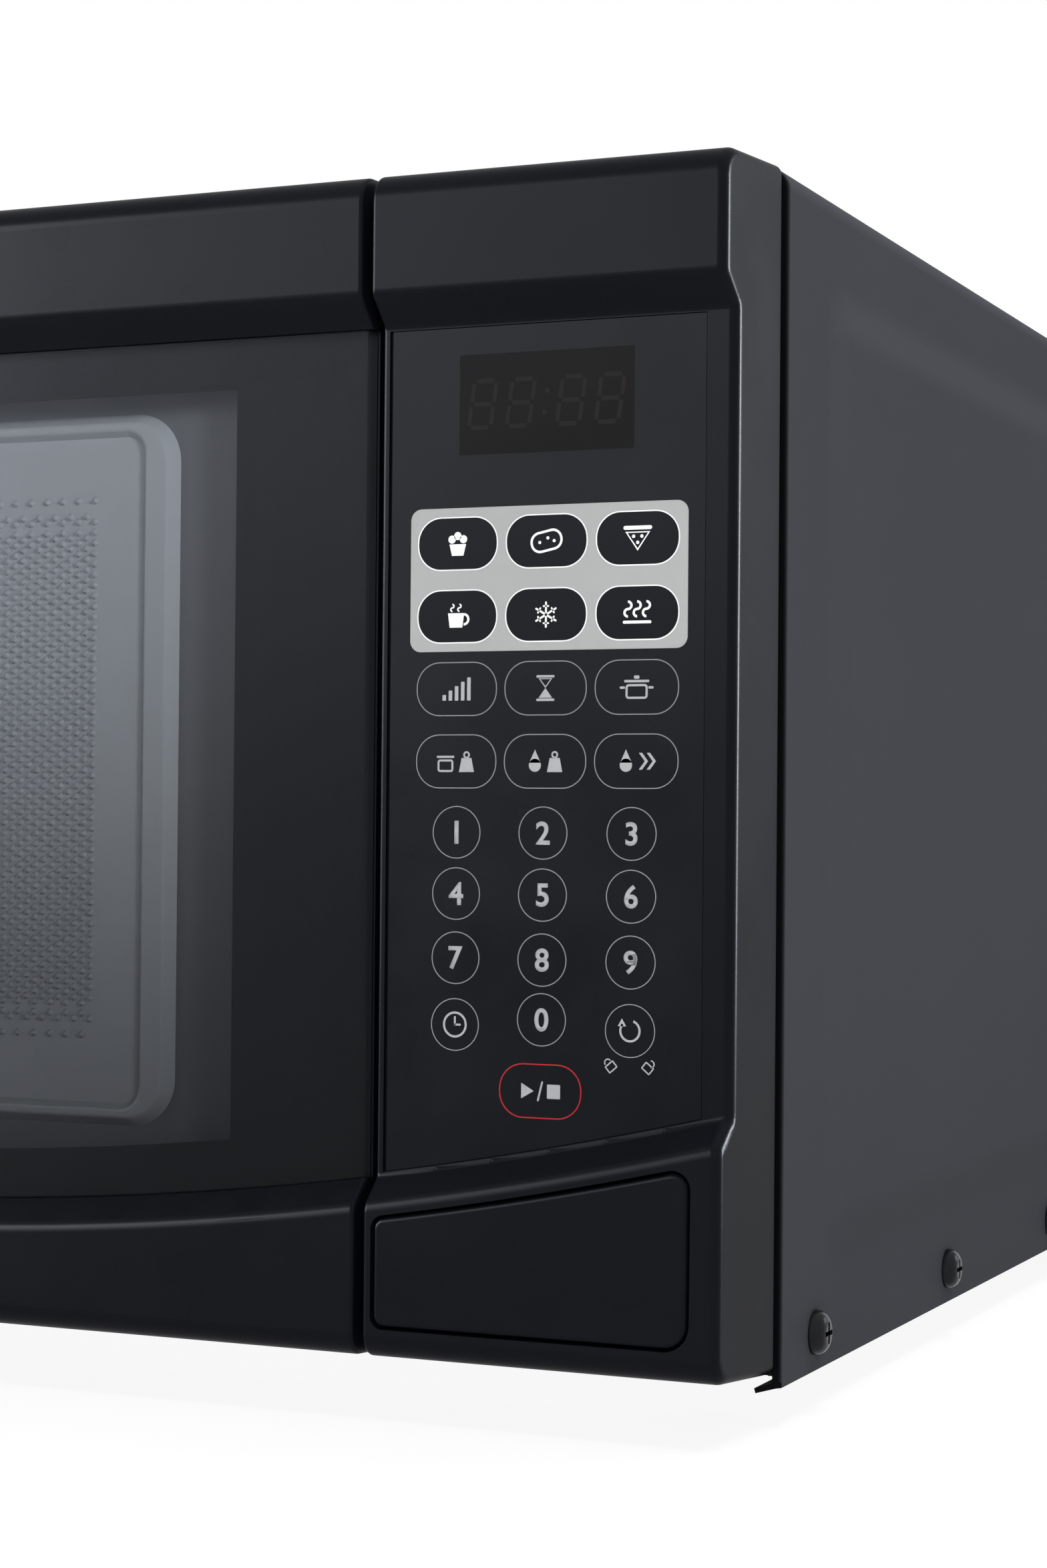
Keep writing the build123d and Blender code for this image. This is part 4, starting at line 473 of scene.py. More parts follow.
def stand_up(bm: BMesh, face_y: float) -> None:
    """Stand a drawing up, so that its y runs upwards and its z towards the user.

    Args:
        bm: The drawing in millimetres. It is scaled to metres.
        face_y: The depth in millimetres at which it stands.
    """
    stand = Matrix.Translation((0.0, face_y * MM, 0.0))
    stand @= Matrix.Rotation(math.radians(90.0), 4, "X") @ Matrix.Scale(MM, 4)
    bmesh.ops.transform(bm, matrix=stand, verts=bm.verts[:])


@dataclass
class Print:
    """One colour of ink on the key sheet, as thin raised shapes.

    Shapes are drawn in millimetres, with x to the right and z up, as the user sees the sheet.
    face_y is the depth of the face that they lie on and height how far they stand proud of it.
    """

    name: str
    finish: Finish
    face_y: float
    height: float
    bed: BMesh = field(default_factory=bmesh.new)

    def _keep(self, shape: BMesh, line: float = 0.0) -> None:
        """Add a drawn shape to the print, as an outline if line is above zero.

        Args:
            shape: A flat face in the xy plane. It is freed.
            line: Width of the outline.
        """
        if line > 0.0:
            inner = shape.faces[:]
            bmesh.ops.inset_individual(shape, faces=inner, thickness=line)
            bmesh.ops.delete(shape, geom=inner, context="FACES_ONLY")
        pour(shape, self.bed)

    def rounded(
        self, mid: Point, size: Point, radius: float, line: float = 0.0, turn: float = 0.0
    ) -> None:
        """Draw a rounded rectangle.

        Args:
            mid: Its middle.
            size: Its width and height.
            radius: Its corner radius, or zero for square corners.
            line: Width of its outline, or zero for a filled shape.
            turn: Its turn in degrees.
        """
        shape = bmesh.new()
        bmesh.ops.create_grid(shape, x_segments=1, y_segments=1, size=0.5)
        bmesh.ops.scale(shape, vec=(size[0], size[1], 1.0), verts=shape.verts[:])
        if radius > 0.0:
            bmesh.ops.bevel(
                shape, geom=shape.verts[:], offset=radius, offset_type="OFFSET", segments=10,
                profile=0.5, affect="VERTICES", clamp_overlap=False, material=-1,
            )
        spot = Matrix.Translation((mid[0], mid[1], 0.0))
        spot @= Matrix.Rotation(math.radians(turn), 4, "Z")
        bmesh.ops.transform(shape, matrix=spot, verts=shape.verts[:])
        self._keep(shape, line)

    def disc(self, mid: Point, radius: float, line: float = 0.0, sides: int = 40) -> None:
        """Draw a disc, or a circle if line is above zero."""
        shape = bmesh.new()
        spot = Matrix.Translation((mid[0], mid[1], 0.0))
        bmesh.ops.create_circle(shape, cap_ends=True, segments=sides, radius=radius, matrix=spot)
        self._keep(shape, line)

    def polygon(self, points: Sequence[Point], mid: Point, line: float = 0.0) -> None:
        """Draw a polygon from corners given about a middle point."""
        shape = bmesh.new()
        corners = [shape.verts.new((mid[0] + x, mid[1] + z, 0.0)) for x, z in points]
        shape.faces.new(corners)
        bmesh.ops.recalc_face_normals(shape, faces=shape.faces[:])
        self._keep(shape, line)

    def arc(self, mid: Point, radius: float, angles: Point, line: float) -> None:
        """Draw a part of a circle as a band.

        Args:
            mid: Centre of the circle.
            radius: Radius at the middle of the band.
            angles: First and last angle in degrees, from +x towards +z.
            line: Width of the band.
        """
        shape = bmesh.new()
        first = Matrix.Rotation(math.radians(angles[0]), 4, "Z")
        rims = (radius - line / 2, radius + line / 2)
        ends = [shape.verts.new(first @ Vector((rim, 0.0, 0.0))) for rim in rims]
        edge = shape.edges.new(ends)
        sweep = math.radians(angles[1] - angles[0])
        bmesh.ops.spin(
            shape, geom=[edge, *ends], cent=(0.0, 0.0, 0.0), axis=(0.0, 0.0, 1.0), angle=sweep,
            steps=16, use_duplicate=False,
        )
        bmesh.ops.translate(shape, vec=(mid[0], mid[1], 0.0), verts=shape.verts[:])
        self._keep(shape)

    def numeral(self, text: str, mid: Point, tall: float, bold: float) -> None:
        """Set a numeral, centred on a point.

        Args:
            text: The digit.
            mid: Where its middle goes.
            tall: Its height.
            bold: How much its strokes are thickened, as a share of its size.
        """
        curve = bpy.data.curves.new("numeral", "FONT")
        curve.body = text
        curve.offset = bold
        curve.resolution_u = 6
        setter = bpy.data.objects.new("numeral", curve)
        bpy.context.scene.collection.objects.link(setter)
        bpy.context.view_layer.update()
        graph = bpy.context.evaluated_depsgraph_get()
        mesh = bpy.data.meshes.new_from_object(setter.evaluated_get(graph))
        bpy.data.objects.remove(setter)
        bpy.data.curves.remove(curve)
        shape = bmesh.new()
        shape.from_mesh(mesh)
        bpy.data.meshes.remove(mesh)
        xs = [v.co.x for v in shape.verts]
        ys = [v.co.y for v in shape.verts]
        scale = tall / (max(ys) - min(ys))
        centre = Vector(((max(xs) + min(xs)) / 2, (max(ys) + min(ys)) / 2, 0.0))
        bmesh.ops.translate(shape, vec=-centre, verts=shape.verts[:])
        bmesh.ops.scale(shape, vec=(scale, scale, 1.0), verts=shape.verts[:])
        bmesh.ops.translate(shape, vec=(mid[0], mid[1], 0.0), verts=shape.verts[:])
        self._keep(shape)

    def lay(self, body: str) -> bpy.types.Object:
        """Raise the ink, stand it up on its face and make it a piece.

        Args:
            body: The body that carries it.

        Returns:
            The printed piece.
        """
        bed = self.bed
        bmesh.ops.remove_doubles(bed, verts=bed.verts[:], dist=0.0005)
        thicken(bed, (0.0, 0.0, self.height))
        stand_up(bed, self.face_y)
        return piece_from(bed, self.name, self.finish, body)


class Sign(Enum):
    """Plain pictograms for the keys."""

    PUFFS = "kernels in a tub"
    TUBER = "a tuber"
    SLICE = "a wedge"
    CUP = "a steaming cup"
    FLAKE = "an ice crystal"
    WAVES = "rising heat"
    LEVELS = "rising bars"
    SANDGLASS = "a sandglass"
    POT = "a pot"
    WEIGHT = "a weight"
    DROP = "a drop beside a weight"
    QUICK_DROP = "a drop with speed lines"
    DIAL = "a clock face"
    CLEAR = "a turning arrow"
    GO = "a triangle and a square"


@dataclass
class SignWriter:
    """Draws the pictograms into a print, each about 7 mm wide and 5 mm tall."""

    ink: Print
    stroke: float = 0.5

    def draw(self, sign: Sign, mid: Point) -> None:
        """Draw one pictogram, by the method that has its name.

        Args:
            sign: Which one.
            mid: Its middle on the sheet.
        """
        getattr(self, f"_{sign.name.lower()}")(mid)

    def _at(self, mid: Point, x: float, z: float) -> Point:
        """A point given about a middle."""
        return mid[0] + x, mid[1] + z

    def _puffs(self, mid: Point) -> None:
        """Kernels over a tapered tub."""
        self.ink.polygon([(-1.9, -0.1), (-1.3, -2.5), (1.3, -2.5), (1.9, -0.1)], mid)
        for x, z in ((-1.3, 0.9), (0.0, 1.6), (1.3, 0.9)):
            self.ink.disc(self._at(mid, x, z), 0.85, sides=20)

    def _tuber(self, mid: Point) -> None:
        """An oval with three eyes."""
        self.ink.rounded(mid, (7.2, 4.4), 2.15, self.stroke, turn=12.0)
        for x, z in ((-1.5, -0.3), (0.3, 0.6), (1.7, 0.0)):
            self.ink.disc(self._at(mid, x, z), 0.34, sides=12)

    def _slice(self, mid: Point) -> None:
        """A wedge with a crust and three dots."""
        self.ink.polygon([(-2.7, 1.3), (0.0, -2.6), (2.7, 1.3)], mid, self.stroke)
        self.ink.rounded(self._at(mid, 0.0, 2.1), (6.2, 0.8), 0.38)
        for x, z in ((-0.9, 0.35), (0.9, 0.35), (0.0, -0.9)):
            self.ink.disc(self._at(mid, x, z), 0.36, sides=12)

    def _cup(self, mid: Point) -> None:
        """A cup with a handle and steam."""
        self.ink.polygon([(-2.1, 0.7), (-1.7, -2.3), (1.2, -2.3), (1.6, 0.7)], mid)
        self.ink.arc(self._at(mid, 1.5, -0.6), 1.05, (-90.0, 90.0), self.stroke)
        for x in (-1.1, 0.5):
            self.ink.arc(self._at(mid, x, 1.45), 0.36, (90.0, 270.0), 0.32)
            self.ink.arc(self._at(mid, x, 2.17), 0.36, (-90.0, 90.0), 0.32)

    def _flake(self, mid: Point) -> None:
        """Three crossed bars with short barbs."""
        for turn in (30.0, 90.0, 150.0):
            self.ink.rounded(mid, (5.4, 0.42), 0.2, turn=turn)
            for side in (-1.0, 1.0):
                x = side * 1.75 * math.cos(math.radians(turn))
                z = side * 1.75 * math.sin(math.radians(turn))
                self.ink.rounded(self._at(mid, x, z), (0.36, 1.4), 0.15, turn=turn)

    def _waves(self, mid: Point) -> None:
        """Three rising waves over a line."""
        for x in (-2.0, 0.0, 2.0):
            self.ink.arc(self._at(mid, x, 0.0), 0.75, (90.0, 270.0), self.stroke)
            self.ink.arc(self._at(mid, x, 1.5), 0.75, (-90.0, 90.0), self.stroke)
        self.ink.rounded(self._at(mid, 0.0, -1.9), (6.2, 0.6), 0.28)

    def _levels(self, mid: Point) -> None:
        """Five bars of rising height."""
        for step in range(5):
            tall = 1.2 + 0.9 * step
            self.ink.rounded(self._at(mid, -2.8 + 1.4 * step, -2.4 + tall / 2), (0.8, tall), 0.15)

    def _sandglass(self, mid: Point) -> None:
        """Two triangles between two bars."""
        self.ink.polygon([(-1.5, 2.0), (0.0, 0.0), (1.5, 2.0)], mid, 0.38)
        self.ink.polygon([(-1.5, -2.0), (1.5, -2.0), (0.0, 0.0)], mid)
        for z in (-2.4, 2.4):
            self.ink.rounded(self._at(mid, 0.0, z), (4.0, 0.5), 0.2)

    def _pot(self, mid: Point) -> None:
        """A lidded pot with two handles."""
        self.ink.rounded(self._at(mid, 0.0, -0.9), (4.8, 3.0), 0.7, self.stroke)
        self.ink.rounded(self._at(mid, 0.0, 1.2), (5.4, 0.5), 0.2)
        self.ink.rounded(self._at(mid, 0.0, 2.0), (1.2, 0.7), 0.3)
        for x in (-3.1, 3.1):
            self.ink.rounded(self._at(mid, x, -0.1), (1.1, 0.5), 0.2)

    def _weight(self, mid: Point) -> None:
        """A pot beside a weight."""
        self.ink.rounded(self._at(mid, -2.4, -0.9), (3.6, 2.6), 0.6, 0.42)
        self.ink.rounded(self._at(mid, -2.4, 0.95), (4.0, 0.45), 0.2)
        self._scale_weight(self._at(mid, 2.4, 0.0))

    def _scale_weight(self, mid: Point) -> None:
        """A tapered weight with a ring."""
        self.ink.polygon([(-1.1, 0.7), (-1.7, -2.2), (1.7, -2.2), (1.1, 0.7)], mid)
        self.ink.disc(self._at(mid, 0.0, 1.35), 0.75, 0.36, sides=24)

    def _one_drop(self, mid: Point) -> None:
        """A falling drop."""
        self.ink.disc(self._at(mid, 0.0, -0.8), 1.35, sides=28)
        self.ink.polygon([(-1.25, -0.3), (1.25, -0.3), (0.0, 2.4)], mid)

    def _drop(self, mid: Point) -> None:
        """A drop beside a weight."""
        self._one_drop(self._at(mid, -2.2, 0.0))
        self._scale_weight(self._at(mid, 2.2, 0.0))

    def _quick_drop(self, mid: Point) -> None:
        """A drop with two chevrons."""
        self._one_drop(self._at(mid, -2.2, 0.0))
        for x in (0.6, 2.3):
            shape = [(0.0, 1.7), (0.7, 1.7), (2.0, 0.0), (0.7, -1.7), (0.0, -1.7), (1.3, 0.0)]
            self.ink.polygon(shape, self._at(mid, x, 0.0))

    def _dial(self, mid: Point) -> None:
        """A clock face with two hands."""
        self.ink.disc(mid, 2.7, 0.45)
        self.ink.rounded(self._at(mid, 0.0, 0.8), (0.4, 1.9), 0.15)
        self.ink.rounded(self._at(mid, 0.6, 0.0), (1.5, 0.4), 0.15)

    def _clear(self, mid: Point) -> None:
        """An arrow that turns back on itself."""
        self.ink.arc(mid, 2.1, (-220.0, 70.0), self.stroke)
        self.ink.polygon([(-0.9, -0.6), (0.9, -0.6), (0.0, 1.0)], self._at(mid, -1.75, 1.5))

    def _go(self, mid: Point) -> None:
        """A triangle and a square with a stroke between them."""
        self.ink.polygon([(-1.2, -1.6), (1.6, 0.0), (-1.2, 1.6)], self._at(mid, -3.0, 0.0))
        self.ink.rounded(mid, (0.4, 4.2), 0.15, turn=-14.0)
        self.ink.rounded(self._at(mid, 3.0, 0.0), (2.9, 2.9), 0.2)


@dataclass
class KeySheet:
    """The printed membrane sheet: the display window, the preset panel and the keys.

    All sizes are in millimetres in the oven's frame. A padlock has its place along x, its lean
    and the swing of its bow in degrees.
    """

    face_y: float = -163.0
    columns: tuple[float, ...] = (159.65, 179.66, 199.70)
    digit_columns: tuple[float, ...] = (159.91, 179.37, 198.83)
    preset_rows: tuple[float, ...] = (181.69, 166.58)
    program_rows: tuple[float, ...] = (151.54, 136.54)
    digit_rows: tuple[float, ...] = (121.86, 109.18, 95.90)
    last_row: float = 82.09
    nought_row: float = 83.70
    oval: Point = (18.3, 11.2)
    oval_round: float = 5.3
    digit_radius: float = 5.45
    digit_tall: float = 4.8
    digit_bold: float = 0.022
    white_line: float = 0.28
    thin_line: float = 0.2
    red_line: float = 0.25
    panel_mid: Point = (179.75, 174.20)
    panel_size: Point = (61.7, 29.8)
    panel_round: float = 2.4
    display_mid: Point = (179.25, 210.40)
    display_size: Point = (38.9, 20.8)
    display_round: float = 0.3
    clock_shifts: tuple[float, ...] = (-14.2, -5.6, 5.6, 14.2)
    clock_wide: float = 5.0
    clock_half: float = 4.8
    clock_bar: float = 0.95
    clock_gaps: Point = (1.1, 1.0)
    clock_slant: float = 0.14
    clock_lean: float = -8.0
    colon_lift: float = 2.2
    colon_radius: float = 0.6
    start_mid: Point = (179.20, 69.10)
    lock_row: float = 74.70
    locks: tuple[Place, ...] = ((194.8, 40.0, 0.0), (202.7, -40.0, 50.0))
    presets: tuple[Sign, ...] = (
        Sign.PUFFS, Sign.TUBER, Sign.SLICE, Sign.CUP, Sign.FLAKE, Sign.WAVES,
    )
    programs: tuple[Sign, ...] = (
        Sign.LEVELS, Sign.SANDGLASS, Sign.POT, Sign.WEIGHT, Sign.DROP, Sign.QUICK_DROP,
    )

    def build(self) -> None:
        """Print every colour of the sheet."""
        self._preset_keys()
        self._grey()
        self._outlines()
        self._display()

    def _grid(self, columns: Sequence[float], rows: Sequence[float]) -> Iterable[Point]:
        """The middles of the keys in some columns and rows, row by row."""
        for z in rows:
            for x in columns:
                yield x, z

    def _round_keys(self) -> list[Point]:
        """The middles of the round keys, row by row."""
        last = zip(self.digit_columns, (self.last_row, self.nought_row, self.last_row))
        return [*self._grid(self.digit_columns, self.digit_rows), *last]

    def _preset_keys(self) -> None:
        """The pale panel, the dark keys on it and their white outlines and pictograms."""
        panel = Print("preset_panel", PANEL_INK, self.face_y, height=0.03)
        panel.rounded(self.panel_mid, self.panel_size, self.panel_round)
        faces = Print("preset_keys", KEY_INK, self.face_y, height=0.06)
        signs = Print("preset_signs", WHITE_INK, self.face_y, height=0.09)
        writer = SignWriter(signs)
        for mid, sign in zip(self._grid(self.columns, self.preset_rows), self.presets):
            faces.rounded(mid, self.oval, self.oval_round)
            signs.rounded(mid, self.oval, self.oval_round, self.white_line)
            writer.draw(sign, mid)
        panel.lay("oven")
        faces.lay("oven")
        signs.lay("oven")

    def _grey(self) -> None:
        """Grey pictograms and digits on the plain keys."""
        ink = Print("key_signs", GREY_INK, self.face_y, height=0.05)
        writer = SignWriter(ink, stroke=0.45)
        for mid, sign in zip(self._grid(self.columns, self.program_rows), self.programs):
            writer.draw(sign, mid)
        *digits, dial, nought, clear = self._round_keys()
        for text, mid in zip("1234567890", (*digits, nought)):
            ink.numeral(text, mid, self.digit_tall, self.digit_bold)
        writer.draw(Sign.DIAL, dial)
        writer.draw(Sign.CLEAR, clear)
        writer.draw(Sign.GO, self.start_mid)
        for x, lean, swing in self.locks:
            self._padlock(ink, (x, self.lock_row), lean, swing)
        ink.lay("oven")

    def _padlock(self, ink: Print, mid: Point, lean: float, swing: float) -> None:
        """A small padlock that leans by some degrees and whose bow is turned open by swing."""
        ink.rounded(mid, (2.3, 1.8), 0.25, 0.28, turn=lean)
        tilt = math.radians(lean)
        bow = (mid[0] - 1.1 * math.sin(tilt), mid[1] + 1.1 * math.cos(tilt))
        ink.arc(bow, 0.7, (lean - swing, lean - swing + 180.0), 0.26)

    def _outlines(self) -> None:
        """Hairline outlines of the plain keys and the red outline of the start key."""
        thin = Print("key_outlines", THIN_INK, self.face_y, height=0.04)
        for mid in self._grid(self.columns, self.program_rows):
            thin.rounded(mid, self.oval, self.oval_round, self.thin_line)
        for mid in self._round_keys():
            thin.disc(mid, self.digit_radius, self.thin_line)
        thin.lay("oven")
        red = Print("start_outline", RED_INK, self.face_y, height=0.05)
        red.rounded(self.start_mid, self.oval, self.oval_round, self.red_line)
        red.lay("oven")

    def _display(self) -> None:
        """The tinted clock window and its unlit segments."""
        window = Print("display_window", DISPLAY_LENS, self.face_y, height=0.03)
        window.rounded(self.display_mid, self.display_size, self.display_round)
        window.lay("oven")
        ink = Print("display_segments", SEGMENT_INK, self.face_y, height=0.05)
        x, z = self.display_mid
        for shift in self.clock_shifts:
            self._clock_numeral(ink, (x + shift, z))
        for lift in (-self.colon_lift, self.colon_lift):
            ink.disc((x + self.clock_slant * lift, z + lift), self.colon_radius, sides=16)
        ink.lay("oven")

    def _clock_numeral(self, ink: Print, mid: Point) -> None:
        """The seven slanted bars of one clock numeral."""
        half, slant = self.clock_half, self.clock_slant
        level = (self.clock_wide - self.clock_gaps[0], self.clock_bar)
        upright = (self.clock_bar, half - self.clock_gaps[1])
        for lift in (-half, 0.0, half):
            ink.rounded((mid[0] + slant * lift, mid[1] + lift), level, 0.0)
        for side in (-1.0, 1.0):
            for lift in (-half / 2, half / 2):
                x = mid[0] + side * self.clock_wide / 2 + slant * lift
                ink.rounded((x, mid[1] + lift), upright, 0.0, turn=self.clock_lean)


@dataclass
class SmileArc:
    """The wide arc that the lower band of the front follows, in millimetres."""

    centre_z: float = 948.2
    glass: float = 909.7

    def angle(self, radius: float, x: float) -> float:
        """Angle in radians, from straight down, at which a circle about the centre reaches x."""
        return math.asin(x / radius)

    def sweep(self, bm: BMesh, profile: Sequence[Point], xs: Point, steps: int) -> None:
        """Sweep a profile along the arc.

        Args:
            bm: The mesh that gets the swept sheet, or the swept line for a single point.
            profile: Points given by their radius and their depth.
            xs: Where the sweep begins and ends, at the first point's radius.
            steps: Number of steps along the arc.
        """
        first = self.angle(profile[0][0], xs[0])
        sweep = self.angle(profile[0][0], xs[1]) - first
        start = Matrix.Translation((0.0, 0.0, self.centre_z)) @ Matrix.Rotation(-first, 4, "Y")
        dots = [bm.verts.new(start @ Vector((0.0, y, -radius))) for radius, y in profile]
        lines = [bm.edges.new(pair) for pair in zip(dots, dots[1:])]
        bmesh.ops.spin(
            bm, geom=[*dots, *lines], cent=(0.0, 0.0, self.centre_z), axis=(0.0, 1.0, 0.0),
            angle=-sweep, steps=steps, use_duplicate=False,
        )


@dataclass
class GlassMargin:
    """The black print round the window on the back of the door glass, in millimetres."""

    arc: SmileArc = field(default_factory=SmileArc)
    outer_x: Point = (-219.8, 139.3)
    outer_top: float = 227.2
    outer_radius: float = 909.4
    window_x: Point = (-188.6, 105.7)
    window_top: float = 216.8
    window_radius: float = 898.9
    back_y: float = -160.1
    thick: float = 0.15
    steps: int = 48

    def build(self) -> None:
        """Draw the two outlines, join them and give the print its thickness."""
        bm = bmesh.new()
        self._outline(bm, self.outer_radius, self.outer_x, self.outer_top)
        self._outline(bm, self.window_radius, self.window_x, self.window_top)
        bmesh.ops.bridge_loops(bm, edges=bm.edges[:])
        bmesh.ops.recalc_face_normals(bm, faces=bm.faces[:])
        thicken(bm, (0.0, -self.thick, 0.0))
        bmesh.ops.scale(bm, vec=(MM, MM, MM), verts=bm.verts[:])
        piece_from(bm, "glass_margin", MARGIN_INK, "door")

    def _outline(self, bm: BMesh, radius: float, xs: Point, top: float) -> None:
        """Draw a closed outline with a straight top and an arched bottom.

        Args:
            bm: The mesh that gets the outline.
            radius: Radius of its lower edge.
            xs: Its left and right edges.
            top: Its upper edge.
        """
        before = set(bm.verts)
        self.arc.sweep(bm, [(radius, self.back_y)], xs, self.steps)
        drawn = [v for v in bm.verts if v not in before]
        left = min(drawn, key=lambda v: v.co.x)
        right = max(drawn, key=lambda v: v.co.x)
        tops = [bm.verts.new((x, self.back_y, top)) for x in xs]
        bm.edges.new((left, tops[0]))
        bm.edges.new((tops[0], tops[1]))
        bm.edges.new((tops[1], right))


@dataclass
class CreaseSkin:
    """A thin even skin over the arched crease of a front moulding, in millimetres.

    It lies a few hundredths of a millimetre above the moulding, so that the highlight along the
    rounded crease runs without steps.
    """

    name: str
    body: str
    xs: Point
    hollow: bool
    arc: SmileArc = field(default_factory=SmileArc)
    slope: float = 5.3
    glass_y: float = -163.0
    band_y: float = -169.0
    crease_round: float = 3.2
    hollow_round: float = 1.5
    lift: float = 0.03
    foot_start: float = 0.3
    overrun: float = 3.0
    thick: float = 0.2
    steps: int = 72
    facets: int = 8
    sharp: float = 30.0

    def build(self) -> None:
        """Sweep the profile of the crease along the arc, trim it and give it a back."""
        bm = bmesh.new()
        ends = (self.xs[0] - self.overrun, self.xs[1] + self.overrun)
        self.arc.sweep(bm, self._profile(), ends, self.steps)
        for x, side in zip(self.xs, (-1.0, 1.0)):
            geom = [*bm.verts, *bm.edges, *bm.faces]
            bmesh.ops.bisect_plane(
                bm, geom=geom, dist=1e-5, plane_co=(x, 0.0, 0.0), plane_no=(side, 0.0, 0.0),
                clear_outer=True,
            )
        bmesh.ops.recalc_face_normals(bm, faces=bm.faces[:])
        if sum(f.normal.y * f.calc_area() for f in bm.faces) > 0.0:
            bmesh.ops.reverse_faces(bm, faces=bm.faces[:])
        for f in bm.faces:
            f.smooth = True
        bmesh.ops.solidify(bm, geom=bm.faces[:], thickness=self.thick)
        for e in bm.edges:
            e.smooth = e.calc_face_angle(0.0) < math.radians(self.sharp)
        bmesh.ops.scale(bm, vec=(MM, MM, MM), verts=bm.verts[:])
        piece = piece_from(bm, self.name, BLACK_MOULDING, self.body)

    def _profile(self) -> list[Point]:
        """Radius and depth of the points across the crease, from the recess to the band."""
        foot = Vector((self.arc.glass - self.lift, self.glass_y))
        brow = Vector((self.arc.glass + self.slope - self.lift, self.band_y))
        way = (brow - foot).normalized()
        points = [tuple(foot + way * self.foot_start)]
        if self.hollow:
            points = self._rounding(foot, Vector((-1.0, 0.0)), way, self.hollow_round)
        points += self._rounding(brow, -way, Vector((1.0, 0.0)), self.crease_round)
        return points

    def _rounding(self, corner: Vector, back: Vector, on: Vector, radius: float) -> list[Point]:
        """Points on the round that replaces a corner.

        Args:
            corner: The sharp corner.
            back: Direction from it to where the line comes from.
            on: Direction from it to where the line goes on.
            radius: Radius of the round.

        Returns:
            Points from tangent to tangent.
        """
        half = back.angle(on) / 2
        centre = corner + (back + on).normalized() * radius / math.sin(half)
        start = corner + back * radius / math.tan(half) - centre
        end = corner + on * radius / math.tan(half) - centre
        sweep = start.angle_signed(end)
        points = []
        for step in range(self.facets + 1):
            spoke = start.copy()
            spoke.rotate(Matrix.Rotation(-sweep * step / self.facets, 2))
            points.append(tuple(centre + spoke))
        return points


CREASES = (
    CreaseSkin("door_crease", "door", (-218.0, 138.8), False),
    CreaseSkin("fascia_crease", "oven", (143.0, 217.5), True),
)


